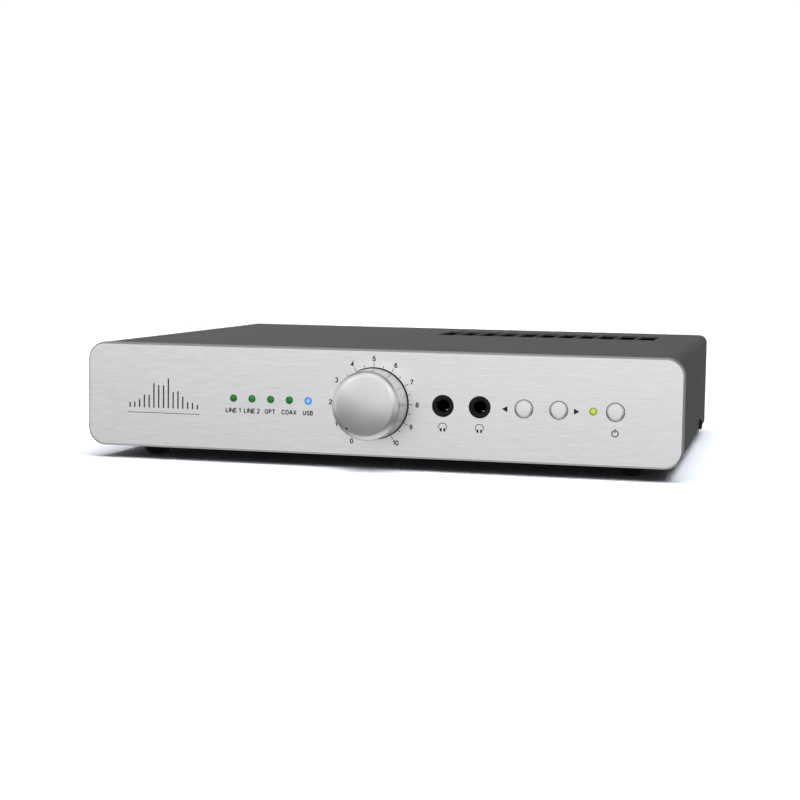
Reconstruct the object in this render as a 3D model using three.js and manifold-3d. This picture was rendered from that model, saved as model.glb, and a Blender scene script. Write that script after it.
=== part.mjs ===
// A compact desktop DAC and headphone amplifier: aluminium front panel, steel tray and cover, and its works.
// Millimetres, +X to the right seen from the front, +Y to the rear, +Z up. The feet stand on z = 0.
import * as THREE from "three";
import { mergeVertices } from "three/addons/utils/BufferGeometryUtils.js";
import Module from "manifold-3d";

const wasm = await Module();
wasm.setup();

// ---- Driving dimensions. Along Y, zero is the front panel's face. ----
const GAP = 0.3; // clearance between pieces that touch
const PANEL = { width: 320, height: 56, thick: 6, corner: 9.5, chamfer: 0.8 };
const SHEET = 1.2; // sheet steel thickness
const COVER_BEND = 5; // outer radius of the cover's upper corners
const FOOT_DROP = 7; // from the table to the underside
const BODY_WIDTH = 310;
const BODY_BACK = 260;
const KNOB_OUT = 20;
const SOCKET_BACK = BODY_BACK + 8; // tips of the phono sockets
const PANEL_TOP = FOOT_DROP + PANEL.height;
const CONTROL_Z = FOOT_DROP + PANEL.height / 2; // centre line of every control

const LED_PITCH = 10.35;
const INPUT_LED_X = ["line_1", "line_2", "optical", "coaxial", "usb"].map((input, i) => ({
  input,
  x: -76.9 + i * LED_PITCH,
}));
const POWER_LED_X = 114.5;
const JACKS = { left: 36.9, right: 56.2 };
const BUTTONS = { previous: 79.1, next: 97, power: 125.75 };
const LED_HOLE = 2.15;
const JACK_HOLE = 5.8;
const BUTTON_HOLE = 4.85;
const BUSH_HOLE = 4.7;
const KNOB_RECESS = { radius: 18.8, depth: 2 };

const FRAME_FRONT = PANEL.thick + GAP; // front of the tray's upright flange
const BOARD = { front: 13, thick: 1.6 }; // upright board behind the controls
const BOARD_BACK = BOARD.front + BOARD.thick;
const TRAY_TOP = FOOT_DROP + SHEET;
const TRAY_HALF = BODY_WIDTH / 2 - SHEET - GAP;
const TRAY_BACK = BODY_BACK - 3.1;
const REAR = { front: TRAY_BACK + GAP, back: TRAY_BACK + GAP + SHEET }; // rear panel's two faces
const LIP_BOTTOM = 53; // lower edge of the cover's rear lip
const MAIN_BOARD = { bottom: 16, top: 17.6, left: -45, right: 148, front: 60, back: TRAY_BACK - 2.9 };
const SOCKET_FLOOR = MAIN_BOARD.top + GAP;
const RIBBON = { x: -28, half: 10 };

const VENTS = { count: 11, first: -0.4, pitch: 12.3, width: 10.8, front: 173, back: 224 };
const FOOT = { x: 131, frontY: 29, rearY: 233 };
const SIDE_SCREW = { y: 205, z: 10.4 };
const LIP_SCREW = { x: 96, z: 57.6 };
const REAR_SCREW = { x: 145, z: 12 };
const SCREW_HOLE = 1.8;
const TRANSFORMER = { x: -104, y: 86, radius: 41, hole: 12 };
const INLET = { x: -122, bottom: 17, width: 30, height: 35 };
const STEREO_SOCKETS = { line_1: 58, line_2: 84, output: 112 };
const COAXIAL_X = 30;
const OPTICAL_X = 4;
const USB_X = -24;
const PHONO = { levels: [28, 46], radius: 4.15, half: 6.5, front: TRAY_BACK - 12.9 };
const OPTICAL = { half: 6.5, height: 12, mouth: 4.1, front: TRAY_BACK - 12.9 };
const USB = { half: 6, height: 11, front: TRAY_BACK - 15.9 };
const INLET_FRONT = TRAY_BACK - 23.9;

// ---- Solids from three.js geometry ----
function solid(geometry) {
  const bare = new THREE.BufferGeometry();
  const loose = geometry.index ? geometry.toNonIndexed() : geometry;
  bare.setAttribute("position", loose.getAttribute("position"));
  const merged = mergeVertices(bare, 1e-4);
  const corners = merged.index.array;
  const kept = [];
  for (let i = 0; i < corners.length; i += 3) {
    const [a, b, c] = corners.subarray(i, i + 3);
    if (a !== b && b !== c && c !== a) kept.push(a, b, c);
  }
  const build = (triangles) =>
    new wasm.Manifold(
      new wasm.Mesh({
        numProp: 3,
        vertProperties: merged.attributes.position.array,
        triVerts: new Uint32Array(triangles),
      }),
    );
  const made = build(kept);
  return made.volume() < 0 ? build(kept.reverse()) : made;
}

function box(x0, x1, y0, y1, z0, z1) {
  const shape = new THREE.BoxGeometry(x1 - x0, y1 - y0, z1 - z0);
  return solid(shape.translate((x0 + x1) / 2, (y0 + y1) / 2, (z0 + z1) / 2));
}

// A solid of revolution about a line along Y through (x, z). Profile points are [radius, y].
function turnedY(profile, x = 0, z = 0, segments = 24) {
  const points = profile.map(([r, y]) => new THREE.Vector2(r, y));
  return solid(new THREE.LatheGeometry(points, segments).translate(x, 0, z));
}

// A solid of revolution about a vertical line through (x, y). Profile points are [radius, z].
function turnedZ(profile, x = 0, y = 0, segments = 24) {
  const points = profile.map(([r, z]) => new THREE.Vector2(r, z));
  return solid(new THREE.LatheGeometry(points, segments).rotateX(Math.PI / 2).translate(x, y, 0));
}

const rodY = (radius, y0, y1, x = 0, z = 0, segments = 16) =>
  turnedY([[0, y0], [radius, y0], [radius, y1], [0, y1]], x, z, segments);
const rodZ = (radius, z0, z1, x = 0, y = 0, segments = 16) =>
  turnedZ([[0, z0], [radius, z0], [radius, z1], [0, z1]], x, y, segments);

function arc(centreR, centreY, radius, from, to, steps) {
  return Array.from({ length: steps + 1 }, (_, i) => {
    const angle = THREE.MathUtils.degToRad(from + ((to - from) * i) / steps);
    return [centreR + radius * Math.cos(angle), centreY + radius * Math.sin(angle)];
  });
}

function roundedRect(x0, x1, y0, y1, radius) {
  const shape = new THREE.Shape();
  shape.absarc(x1 - radius, y0 + radius, radius, -Math.PI / 2, 0);
  shape.absarc(x1 - radius, y1 - radius, radius, 0, Math.PI / 2);
  shape.absarc(x0 + radius, y1 - radius, radius, Math.PI / 2, Math.PI);
  shape.absarc(x0 + radius, y0 + radius, radius, Math.PI, (Math.PI * 3) / 2);
  return shape;
}

// An outline in X and Z, extruded from y0 to y1.
function plateXZ(shape, y0, y1, options = {}) {
  const settings = { depth: y1 - y0, bevelEnabled: false, curveSegments: 8, ...options };
  return solid(new THREE.ExtrudeGeometry(shape, settings).rotateX(Math.PI / 2).translate(0, y1, 0));
}

// An outline in Y and Z, extruded from x0 to x1.
function plateYZ(shape, x0, x1) {
  const settings = { depth: x1 - x0, bevelEnabled: false, curveSegments: 8 };
  const plate = new THREE.ExtrudeGeometry(shape, settings);
  return solid(plate.rotateY(Math.PI / 2).rotateX(Math.PI / 2).translate(x0, 0, 0));
}

const union = (...parts) => parts.reduce((whole, part) => whole.add(part));
const cut = (whole, ...holes) => holes.reduce((rest, hole) => rest.subtract(hole), whole);

// ---- Materials ----
const finish = (color, roughness, metalness, extra = {}) =>
  new THREE.MeshStandardMaterial({ color, roughness, metalness, ...extra });
const MATERIALS = {
  brushedAluminium: () => finish(0xd4d6d8, 0.35, 0.9),
  satinAluminium: () => finish(0xc9cbcc, 0.28, 0.95),
  darkPaint: () => finish(0x4a4a4b, 0.6, 0.2),
  blackPlastic: () => finish(0x101011, 0.45, 0),
  blackSteel: () => finish(0x151516, 0.4, 0.6),
  zinc: () => finish(0xb4b6b8, 0.4, 0.9),
  rubber: () => finish(0x0c0c0d, 0.85, 0),
  greenLens: () => finish(0x1f5a2a, 0.25, 0),
  blueLens: () => finish(0x58b6ff, 0.25, 0, { emissive: 0x3aa0ff }),
  yellowLens: () => finish(0xc8e028, 0.25, 0, { emissive: 0xa8c818 }),
  board: () => finish(0x1d5c38, 0.5, 0),
  ribbon: () => finish(0xb9bbbd, 0.6, 0),
  winding: () => finish(0xb5622c, 0.45, 0.1),
  capacitorSleeve: () => finish(0x14233f, 0.4, 0),
  blackAnodised: () => finish(0x1a1a1b, 0.5, 0.6),
  gold: () => finish(0xc9a24a, 0.3, 0.9),
  glass: () => finish(0xdfe6e6, 0.1, 0),
  leadSheath: () => finish(0x23242a, 0.6, 0),
};

const device = new THREE.Group();
device.position.y = (KNOB_OUT - SOCKET_BACK) / 2;
const subgroup = () => {
  const group = new THREE.Group();
  device.add(group);
  return group;
};
const casing = subgroup();
const controls = subgroup();
const works = subgroup();
const sockets = subgroup();

function add(group, name, made, material, position = [0, 0, 0], rotation = [0, 0, 0]) {
  const shape = made.getMesh();
  const geometry = new THREE.BufferGeometry();
  geometry.setAttribute("position", new THREE.BufferAttribute(shape.vertProperties, 3));
  geometry.setIndex(new THREE.BufferAttribute(shape.triVerts, 1));
  geometry.computeVertexNormals();
  const mesh = new THREE.Mesh(geometry, MATERIALS[material]());
  mesh.name = name;
  mesh.position.set(...position);
  mesh.rotation.set(...rotation);
  group.add(mesh);
}

// Holes along Y at each control: one radius for each kind.
function controlHoles(y0, y1, radii) {
  const ledXs = [...INPUT_LED_X.map((led) => led.x), POWER_LED_X];
  return [
    rodY(radii.bush, y0, y1, 0, CONTROL_Z),
    ...ledXs.map((x) => rodY(radii.led, y0, y1, x, CONTROL_Z, 12)),
    ...Object.values(JACKS).map((x) => rodY(radii.jack, y0, y1, x, CONTROL_Z, 24)),
    ...Object.values(BUTTONS).map((x) => rodY(radii.button, y0, y1, x, CONTROL_Z, 24)),
  ];
}

// ---- Casing ----
// The panel's front edge is chamfered all round, and the knob sits in a shallow round recess.
function frontPanel() {
  const half = PANEL.width / 2;
  const c = PANEL.chamfer;
  const outline = roundedRect(-half, half, FOOT_DROP, PANEL_TOP, PANEL.corner);
  const bevel = { bevelEnabled: true, bevelThickness: c, bevelSize: c, bevelOffset: -c, bevelSegments: 1 };
  const slab = plateXZ(outline, c, PANEL.thick, bevel);
  const behind = box(-half - 1, half + 1, PANEL.thick, PANEL.thick + c + 1, 0, PANEL_TOP + 1);
  const recess = rodY(KNOB_RECESS.radius, -1, KNOB_RECESS.depth, 0, CONTROL_Z, 48);
  const radii = { bush: BUSH_HOLE, led: LED_HOLE, jack: JACK_HOLE, button: BUTTON_HOLE };
  return cut(slab, behind, recess, ...controlHoles(-1, PANEL.thick + 1, radii));
}

// A base with low upright flanges all round, clear of the controls in front and the sockets behind.
function chassisTray() {
  const frontTop = 22;
  const sideTop = 19;
  const rearTop = 16;
  const endHalf = TRAY_HALF - 2.5; // the bends stop short of the corners
  const base = box(-TRAY_HALF, TRAY_HALF, FRAME_FRONT, TRAY_BACK, FOOT_DROP, TRAY_TOP);
  const step = 0.2; // each flange stands this far inside the base's edge
  const low = FOOT_DROP + SHEET / 2;
  const front = box(-endHalf, endHalf, FRAME_FRONT + step, FRAME_FRONT + step + SHEET, low, frontTop);
  const rear = box(-endHalf, endHalf, TRAY_BACK - step - SHEET, TRAY_BACK - step, low, rearTop);
  const sides = [-TRAY_HALF + step, TRAY_HALF - step - SHEET].map((x) =>
    box(x, x + SHEET, FRAME_FRONT + 2, TRAY_BACK - 2, low, sideTop),
  );
  const posts = [MAIN_BOARD.left + 5, MAIN_BOARD.right - 5].flatMap((x) =>
    [MAIN_BOARD.front + 12, MAIN_BOARD.back - 20].map((y) =>
      rodZ(3, FOOT_DROP + 0.5, MAIN_BOARD.bottom - GAP, x, y, 8),
    ),
  );
  const footHoles = [-FOOT.x, FOOT.x].flatMap((x) =>
    [FOOT.frontY, FOOT.rearY].map((y) => rodZ(1.9, 0, TRAY_TOP + 1, x, y, 12)),
  );
  const sideHoles = screwHoleX(SIDE_SCREW.y, SIDE_SCREW.z);
  const rearHoles = [-REAR_SCREW.x, REAR_SCREW.x].map((x) =>
    rodY(SCREW_HOLE, TRAY_BACK - 3, TRAY_BACK + 1, x, REAR_SCREW.z, 12),
  );
  const boltHole = rodZ(3.3, 0, TRAY_TOP + 1, TRANSFORMER.x, TRANSFORMER.y, 12);
  return cut(
    union(base, front, rear, ...sides, ...posts),
    ...footHoles,
    ...rearHoles,
    sideHoles,
    boltHole,
  );
}

// One hole right across the case along X, through both sides.
function screwHoleX(y, z) {
  const reach = BODY_WIDTH / 2 + 1;
  const bar = new THREE.CylinderGeometry(SCREW_HOLE, SCREW_HOLE, 2 * reach, 12);
  return solid(bar.rotateZ(Math.PI / 2).translate(0, y, z));
}

// An upside-down channel with bent upper corners, a row of ventilation slots and a lip folded down behind.
function topCover() {
  const halfWidth = BODY_WIDTH / 2;
  const channel = (inset, bottom) => {
    const shape = new THREE.Shape();
    const radius = COVER_BEND - inset;
    const side = halfWidth - inset;
    const top = PANEL_TOP - inset;
    shape.moveTo(-side, bottom);
    shape.lineTo(side, bottom);
    shape.absarc(side - radius, top - radius, radius, 0, Math.PI / 2);
    shape.absarc(-side + radius, top - radius, radius, Math.PI / 2, Math.PI);
    return shape;
  };
  const shell = cut(
    plateXZ(channel(0, FOOT_DROP), FRAME_FRONT, BODY_BACK),
    plateXZ(channel(SHEET, FOOT_DROP - 1), FRAME_FRONT - 1, BODY_BACK + 1),
  );
  const lipHalf = halfWidth - 4;
  const lip = box(-lipHalf, lipHalf, BODY_BACK - SHEET, BODY_BACK, LIP_BOTTOM, PANEL_TOP - 0.5);
  const vents = Array.from({ length: VENTS.count }, (_, i) => {
    const x = VENTS.first + i * VENTS.pitch;
    const half = VENTS.width / 2;
    return box(x - half, x + half, VENTS.front, VENTS.back, PANEL_TOP - 4, PANEL_TOP + 1);
  });
  const lipHoles = [-LIP_SCREW.x, LIP_SCREW.x].map((x) =>
    rodY(SCREW_HOLE, BODY_BACK - 3, BODY_BACK + 1, x, LIP_SCREW.z, 12),
  );
  return cut(union(shell, lip), ...vents, ...lipHoles, screwHoleX(SIDE_SCREW.y, SIDE_SCREW.z));
}

function rearPanel() {
  const half = TRAY_HALF - 0.6; // clear of the bends in the cover
  const outline = roundedRect(-half, half, FOOT_DROP, PANEL_TOP - SHEET - 0.7, COVER_BEND - SHEET - 0.2);
  const plate = plateXZ(outline, REAR.front, REAR.back);
  const y0 = REAR.front - 1;
  const y1 = REAR.back + 1;
  const phonoHole = (x, z) => rodY(5.3, y0, y1, x, z, 20);
  const slot = (x, halfWidth, z0, z1) => box(x - halfWidth, x + halfWidth, y0, y1, z0, z1);
  return cut(
    plate,
    ...[-REAR_SCREW.x, REAR_SCREW.x].map((x) => rodY(SCREW_HOLE, y0, y1, x, REAR_SCREW.z, 12)),
    ...[-LIP_SCREW.x, LIP_SCREW.x].map((x) => rodY(SCREW_HOLE, y0, y1, x, LIP_SCREW.z, 12)),
    ...Object.values(STEREO_SOCKETS).flatMap((x) => PHONO.levels.map((z) => phonoHole(x, z))),
    phonoHole(COAXIAL_X, PHONO.levels[0]),
    slot(OPTICAL_X, OPTICAL.half + GAP, SOCKET_FLOOR, SOCKET_FLOOR + OPTICAL.height + GAP),
    slot(USB_X, USB.half + GAP, SOCKET_FLOOR, SOCKET_FLOOR + USB.height + GAP),
    slot(INLET.x, INLET.width / 2 - 1 + GAP, INLET.bottom + 1 - GAP, INLET.bottom + INLET.height - 1 + GAP),
  );
}

// A pan-head screw along Y with its head at the rear. Zero is the face that the head rests on.
function screw(headRadius, length) {
  const top = GAP + headRadius * 0.6;
  const wide = headRadius * 0.62;
  const head = [[headRadius, GAP], [headRadius * 0.94, GAP + 0.8], [headRadius * 0.7, top - 0.3], [0, top]];
  const dome = turnedY([[0, -length], [1.4, -length], [1.4, GAP], ...head], 0, 0, 12);
  const cross = union(
    box(-wide, wide, top - 0.9, top + 1, -0.45, 0.45),
    box(-0.45, 0.45, top - 0.9, top + 1, -wide, wide),
  );
  return cut(dome, cross);
}

// A rubber foot: a truncated bowl with a countersunk seat for its screw.
function foot() {
  const top = FOOT_DROP - GAP;
  const side = arc(2.2, top, 6.6, -8, -72, 4).map(([r, z]) => [r, Math.max(z, 0.35)]);
  return turnedZ(
    [[1.9, top], [8.7, top], ...side, [4.9, 0], [3.4, 0], [3.4, 4], [1.9, 4], [1.9, top]],
    0, 0, 20,
  );
}

function footScrew() {
  const length = 9.5;
  const head = [[0, 2], [2.4, 2], [3.1, 2.7], [3.1, 3.7]];
  const blank = turnedZ([...head, [1.6, 3.7], [1.6, length], [0, length]], 0, 0, 12);
  return cut(blank, box(-2.6, 2.6, -0.4, 0.4, 1, 2.6));
}

add(casing, "front_panel", frontPanel(), "brushedAluminium");
add(casing, "chassis_tray", chassisTray(), "blackSteel");
add(casing, "top_cover", topCover(), "darkPaint");

for (const [side, sign] of [["left", -1], ["right", 1]]) {
  const turn = -sign * (Math.PI / 2);
  const inSide = [sign * (BODY_WIDTH / 2), SIDE_SCREW.y, SIDE_SCREW.z];
  const inLip = [sign * LIP_SCREW.x, BODY_BACK, LIP_SCREW.z];
  const inRear = [sign * REAR_SCREW.x, REAR.back, REAR_SCREW.z];
  add(casing, `cover_screw_${side}`, screw(3.2, 8), "blackSteel", inSide, [0, 0, turn]);
  add(casing, `rear_cover_screw_${side}`, screw(3, 7), "blackSteel", inLip);
  add(casing, `rear_panel_screw_${side}`, screw(3, 7), "blackSteel", inRear);
  for (const [end, y] of [["front", FOOT.frontY], ["rear", FOOT.rearY]]) {
    add(casing, `foot_${end}_${side}`, foot(), "rubber", [sign * FOOT.x, y, 0]);
    add(casing, `foot_screw_${end}_${side}`, footScrew(), "zinc", [sign * FOOT.x, y, 0]);
  }
}

// ---- Front controls. Their own zero is on the panel's face, at the control's axis. ----
const KNOB = { back: 18.3, front: 17.5, edge: 3.6, dome: 0.7, mark: 14.9, markAngle: 141.9 };

// Turned from solid bar: slightly tapered side, rounded edge, faintly domed face and one drilled mark.
function volumeKnob() {
  const cornerR = KNOB.front - KNOB.edge;
  const cornerY = -KNOB_OUT + KNOB.dome + KNOB.edge;
  const face = [0.7, 0.35].map((t) => [cornerR * t, -KNOB_OUT + KNOB.dome * t * t]);
  const outer = [[KNOB.back, 1], [KNOB.back, -1], ...arc(cornerR, cornerY, KNOB.edge, 0, -90, 5), ...face];
  const inner = [[3.3, -14], [3.3, -4], [9, -4], [9, 1]];
  const blank = turnedY([[0, -14], ...inner, ...outer, [0, -KNOB_OUT]].reverse(), 0, 0, 48);
  const angle = THREE.MathUtils.degToRad(KNOB.markAngle);
  const [markX, markZ] = [-KNOB.mark * Math.sin(angle), KNOB.mark * Math.cos(angle)];
  return cut(blank, rodY(0.6, -KNOB_OUT - 1, -KNOB_OUT + 1.6, markX, markZ, 8));
}

function volumeShaft() {
  const shaft = rodY(3, -13.5, 30);
  return cut(shaft, box(-4, 4, -14.5, -4, 1.6, 4));
}

function volumePotentiometer() {
  const body = box(-11, 11, BOARD_BACK + GAP, BOARD_BACK + 20, -12, 11);
  const bush = rodY(4.3, -0.8, BOARD_BACK + 1);
  return cut(union(body, bush), rodY(3.3, -2, 31));
}

function potentiometerNut() {
  const [front, back] = [-0.3, KNOB_RECESS.depth - GAP];
  const hexagon = rodY(7, front, back, 0, 0, 6);
  return cut(hexagon, rodY(4.6, front - 1, back + 1));
}

// A round cap with a bevelled face, a collar that keeps it in the panel and a stem into its switch.
function pushButton() {
  const radius = BUTTON_HOLE - GAP;
  const collarFront = PANEL.thick + GAP;
  return turnedY(
    [
      [0, -0.9], [3.5, -0.9], [radius, 0.1], [radius, collarFront], [5.8, collarFront],
      [5.8, collarFront + 1], [1.6, collarFront + 1], [1.6, 10], [0, 10],
    ].reverse(),
  );
}

function tactSwitch() {
  const back = BOARD.front - GAP;
  return cut(box(-3, 3, back - 3.5, back, -3, 3), rodY(2, back - 5, back - 1));
}

// A small round lamp with a domed end, flush with the panel, and a rim at its back.
function indicator() {
  const radius = LED_HOLE - GAP;
  const back = BOARD.front - GAP;
  const dome = arc(0, 0.35, radius, -70, -15, 2).map(([r, y]) => [r, 0.35 + (y - 0.35) * 0.5]);
  const tip = 0.35 - radius * 0.5;
  const rim = [[radius, back - 1.5], [2.4, back - 1.5], [2.4, back], [0, back]];
  return turnedY([[0, tip], ...dome, ...rim].reverse(), 0, 0, 12);
}

const JACK_BORE = 3.175;

function headphoneJack() {
  const body = box(-8, 8, BOARD_BACK + GAP, BOARD_BACK + 31, -11, 10);
  const nose = rodY(4.5, 0.8, BOARD_BACK + 1, 0, 0, 24);
  return cut(union(body, nose), rodY(JACK_BORE, 0, BOARD_BACK + 28, 0, 0, 24));
}

// A black ring around the jack's mouth, set flush in the panel.
function jackBezel() {
  const outer = JACK_HOLE - GAP;
  const face = [[3.4, 0.1], [3.9, -0.2], [outer - 0.2, -0.2], [outer, 0]];
  return turnedY([...face, [outer, 5], [4.8, 5], [4.8, 0.5], [3.4, 0.5], face[0]], 0, 0, 20);
}

function frontBoard() {
  const plate = box(-86, 134, BOARD.front, BOARD_BACK, 14, 56);
  const [plugLeft, plugRight] = [RIBBON.x - RIBBON.half - 2, RIBBON.x + RIBBON.half + 2];
  const header = box(plugLeft, plugRight, BOARD_BACK - 0.5, BOARD_BACK + 5, 17, 22);
  const jackHoles = Object.values(JACKS).map((x) => rodY(4.9, BOARD.front - 1, BOARD_BACK + 1, x, CONTROL_Z));
  const bushHole = rodY(BUSH_HOLE, BOARD.front - 1, BOARD_BACK + 1, 0, CONTROL_Z);
  return cut(union(plate, header), ...jackHoles, bushHole);
}

add(controls, "volume_knob", volumeKnob(), "satinAluminium", [0, 0, CONTROL_Z]);
add(controls, "volume_shaft", volumeShaft(), "zinc", [0, 0, CONTROL_Z]);
add(controls, "volume_potentiometer", volumePotentiometer(), "blackPlastic", [0, 0, CONTROL_Z]);
add(controls, "potentiometer_nut", potentiometerNut(), "zinc", [0, 0, CONTROL_Z]);
for (const [use, x] of Object.entries(BUTTONS)) {
  add(controls, `${use}_button`, pushButton(), "satinAluminium", [x, 0, CONTROL_Z]);
  add(controls, `${use}_switch`, tactSwitch(), "blackPlastic", [x, 0, CONTROL_Z]);
}
for (const { input, x } of INPUT_LED_X) {
  const lens = input === "usb" ? "blueLens" : "greenLens";
  add(controls, `${input}_indicator`, indicator(), lens, [x, 0, CONTROL_Z]);
}
add(controls, "power_indicator", indicator(), "yellowLens", [POWER_LED_X, 0, CONTROL_Z]);
for (const [side, x] of Object.entries(JACKS)) {
  add(controls, `headphone_jack_${side}`, headphoneJack(), "blackPlastic", [x, 0, CONTROL_Z]);
  add(controls, `headphone_bezel_${side}`, jackBezel(), "blackPlastic", [x, 0, CONTROL_Z]);
}
add(controls, "front_board", frontBoard(), "board");

// ---- Works inside the case ----
// The main board carries its chips, small capacitors and plugs, which are soldered on.
function mainBoard() {
  const { bottom, top, left, right, front, back } = MAIN_BOARD;
  const sunk = top - 0.4;
  const plate = box(left, right, front, back, bottom, top);
  const [plugLeft, plugRight] = [RIBBON.x - RIBBON.half - 2, RIBBON.x + RIBBON.half + 2];
  const ribbonPlug = box(plugLeft, plugRight, front + 1, front + 7, sunk, top + 5.5);
  const supplyPlug = box(left + 3, left + 11, front + 30, front + 46, sunk, top + 8);
  const chip = (x, y, size) => box(x - size / 2, x + size / 2, y - size / 2, y + size / 2, sunk, top + 1.2);
  const chips = [chip(USB_X + 4, 220, 11), chip(12, 208, 10), chip(40, 198, 9), chip(96, 100, 10)];
  const smallCapacitors = Array.from({ length: 8 }, (_, i) =>
    rodZ(3.2, sunk, top + 9, 66 + (i % 4) * 18, 74 + Math.floor(i / 4) * 50, 8),
  );
  return union(plate, ribbonPlug, supplyPlug, ...chips, ...smallCapacitors);
}

// A flat cable that arches from the front board's plug to the main board's plug.
function ribbonCable() {
  const start = BOARD_BACK + 5 + GAP;
  const end = MAIN_BOARD.front + 1 - GAP;
  const steps = 8;
  const thick = 0.9;
  const edge = Array.from({ length: steps + 1 }, (_, i) => {
    const t = i / steps;
    return [start + (end - start) * t, 19.6 + 5 * Math.sin(Math.PI * t) ** 2];
  });
  const outline = [...edge, ...edge.map(([y, z]) => [y, z + thick]).reverse()];
  const shape = new THREE.Shape(outline.map(([y, z]) => new THREE.Vector2(y, z)));
  return plateYZ(shape, RIBBON.x - RIBBON.half, RIBBON.x + RIBBON.half);
}

function toroid() {
  const { radius, hole } = TRANSFORMER;
  const [bottom, top, round] = [10.8, 46, 7];
  const profile = [
    ...arc(radius - round, bottom + round, round, -90, 0, 2),
    ...arc(radius - round, top - round, round, 0, 90, 2),
    ...arc(hole + round, top - round, round, 90, 180, 2),
    ...arc(hole + round, bottom + round, round, 180, 270, 2),
  ];
  return turnedZ([...profile, profile[0]], 0, 0, 32);
}

function transformerPad() {
  return turnedZ([[5, 8.5], [38, 8.5], [38, 10.5], [5, 10.5], [5, 8.5]]);
}

function transformerClamp() {
  const under = [[3.4, 42.5], [9, 42.5], [13, 46.3], [30, 46.3]];
  return turnedZ([...under, [30, 47.5], [12.4, 47.5], [8.6, 43.9], [3.4, 43.9], under[0]]);
}

function transformerBolt() {
  return union(rodZ(3, FOOT_DROP + 0.2, 45, 0, 0, 12), rodZ(5.6, 44.2, 48.4, 0, 0, 6));
}

function filterCapacitor() {
  const [bottom, top] = [MAIN_BOARD.top + GAP, 53];
  const foot = [[0, bottom], [10.4, bottom], [11, bottom + 1], [10.6, bottom + 3], [11, bottom + 4]];
  return turnedZ([...foot, [11, top - 0.8], [10.2, top], [0, top]]);
}

function heatsink() {
  const [bottom, top] = [MAIN_BOARD.top + GAP, 50];
  const spine = box(-30, 30, -2, 2, bottom, top);
  const fins = Array.from({ length: 9 }, (_, i) => {
    const x = -29.5 + i * 7;
    return box(x, x + 2, -12, 12, bottom + 3, top);
  });
  return union(spine, ...fins);
}

// A round lead along a smooth curve through the given points.
function lead(points, radius) {
  const path = new THREE.CatmullRomCurve3(points.map((p) => new THREE.Vector3(...p)));
  const section = new THREE.Shape();
  section.absarc(0, 0, radius, 0, Math.PI * 2);
  return solid(new THREE.ExtrudeGeometry(section, { steps: 14, curveSegments: 2, extrudePath: path }));
}

add(works, "main_board", mainBoard(), "board");
add(works, "ribbon_cable", ribbonCable(), "ribbon");
const transformerAt = [TRANSFORMER.x, TRANSFORMER.y, 0];
add(works, "transformer_pad", transformerPad(), "rubber", transformerAt);
add(works, "toroidal_transformer", toroid(), "winding", transformerAt);
add(works, "transformer_clamp", transformerClamp(), "zinc", transformerAt);
add(works, "transformer_bolt", transformerBolt(), "zinc", transformerAt);
add(works, "filter_capacitor_left", filterCapacitor(), "capacitorSleeve", [2, 116, 0]);
add(works, "filter_capacitor_right", filterCapacitor(), "capacitorSleeve", [32, 116, 0]);
add(works, "heatsink", heatsink(), "blackAnodised", [96, 198, 0]);

// ---- Sockets in the rear panel ----
// Phono sockets one above the other in a common block, which stands on the main board.
function phonoSockets(levels) {
  const { half, radius, front } = PHONO;
  const block = box(-half, half, front, TRAY_BACK, SOCKET_FLOOR, levels.at(-1) + 7);
  const collar = REAR.back + 0.6;
  const root = TRAY_BACK - 0.9;
  const barrel = [[5, root], [5, collar], [radius, collar], [radius, SOCKET_BACK]];
  const barrels = levels.map((z) => turnedY([[0, root], ...barrel, [0, SOCKET_BACK]], 0, z, 20));
  const bores = levels.map((z) => rodY(1.6, root - 2, SOCKET_BACK + 1, 0, z, 10));
  return cut(union(block, ...barrels), ...bores);
}

function opticalSocket() {
  const { half, height, mouth, front } = OPTICAL;
  const middle = SOCKET_FLOOR + height / 2;
  const back = REAR.back + 0.8;
  const body = box(-half, half, front, back, SOCKET_FLOOR, SOCKET_FLOOR + height);
  return cut(body, box(-mouth, mouth, front + 3, back + 1, middle - mouth, middle + mouth));
}

// A sprung flap that hangs from the top of the optical socket's mouth. Its own zero is its hinge line.
function opticalShutter() {
  const side = OPTICAL.mouth - GAP;
  const drop = 2 * OPTICAL.mouth - 1.2;
  const barrel = new THREE.CylinderGeometry(0.45, 0.45, 2 * side, 12).rotateZ(Math.PI / 2);
  return union(solid(barrel), box(-side, side, -0.4, 0.4, -drop, 0));
}

function usbSocket() {
  const { half, height, front } = USB;
  const back = REAR.back + 1.2;
  const middle = SOCKET_FLOOR + height / 2;
  const body = box(-half, half, front, back, SOCKET_FLOOR, SOCKET_FLOOR + height);
  const mouth = cut(
    box(-4.3, 4.3, front + 4, back + 1, middle - 4, middle + 4),
    box(-2.9, 2.9, front + 3, back - 1.6, middle - 1.6, middle + 1.6),
  );
  return cut(body, mouth);
}

// A mains inlet with a flange outside the rear panel, three recessed pins and a pocket for the fuse drawer.
const DRAWER = { halfWidth: 11.7, bottom: INLET.height - 10.7, height: 7.4, depth: 24 };

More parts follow.
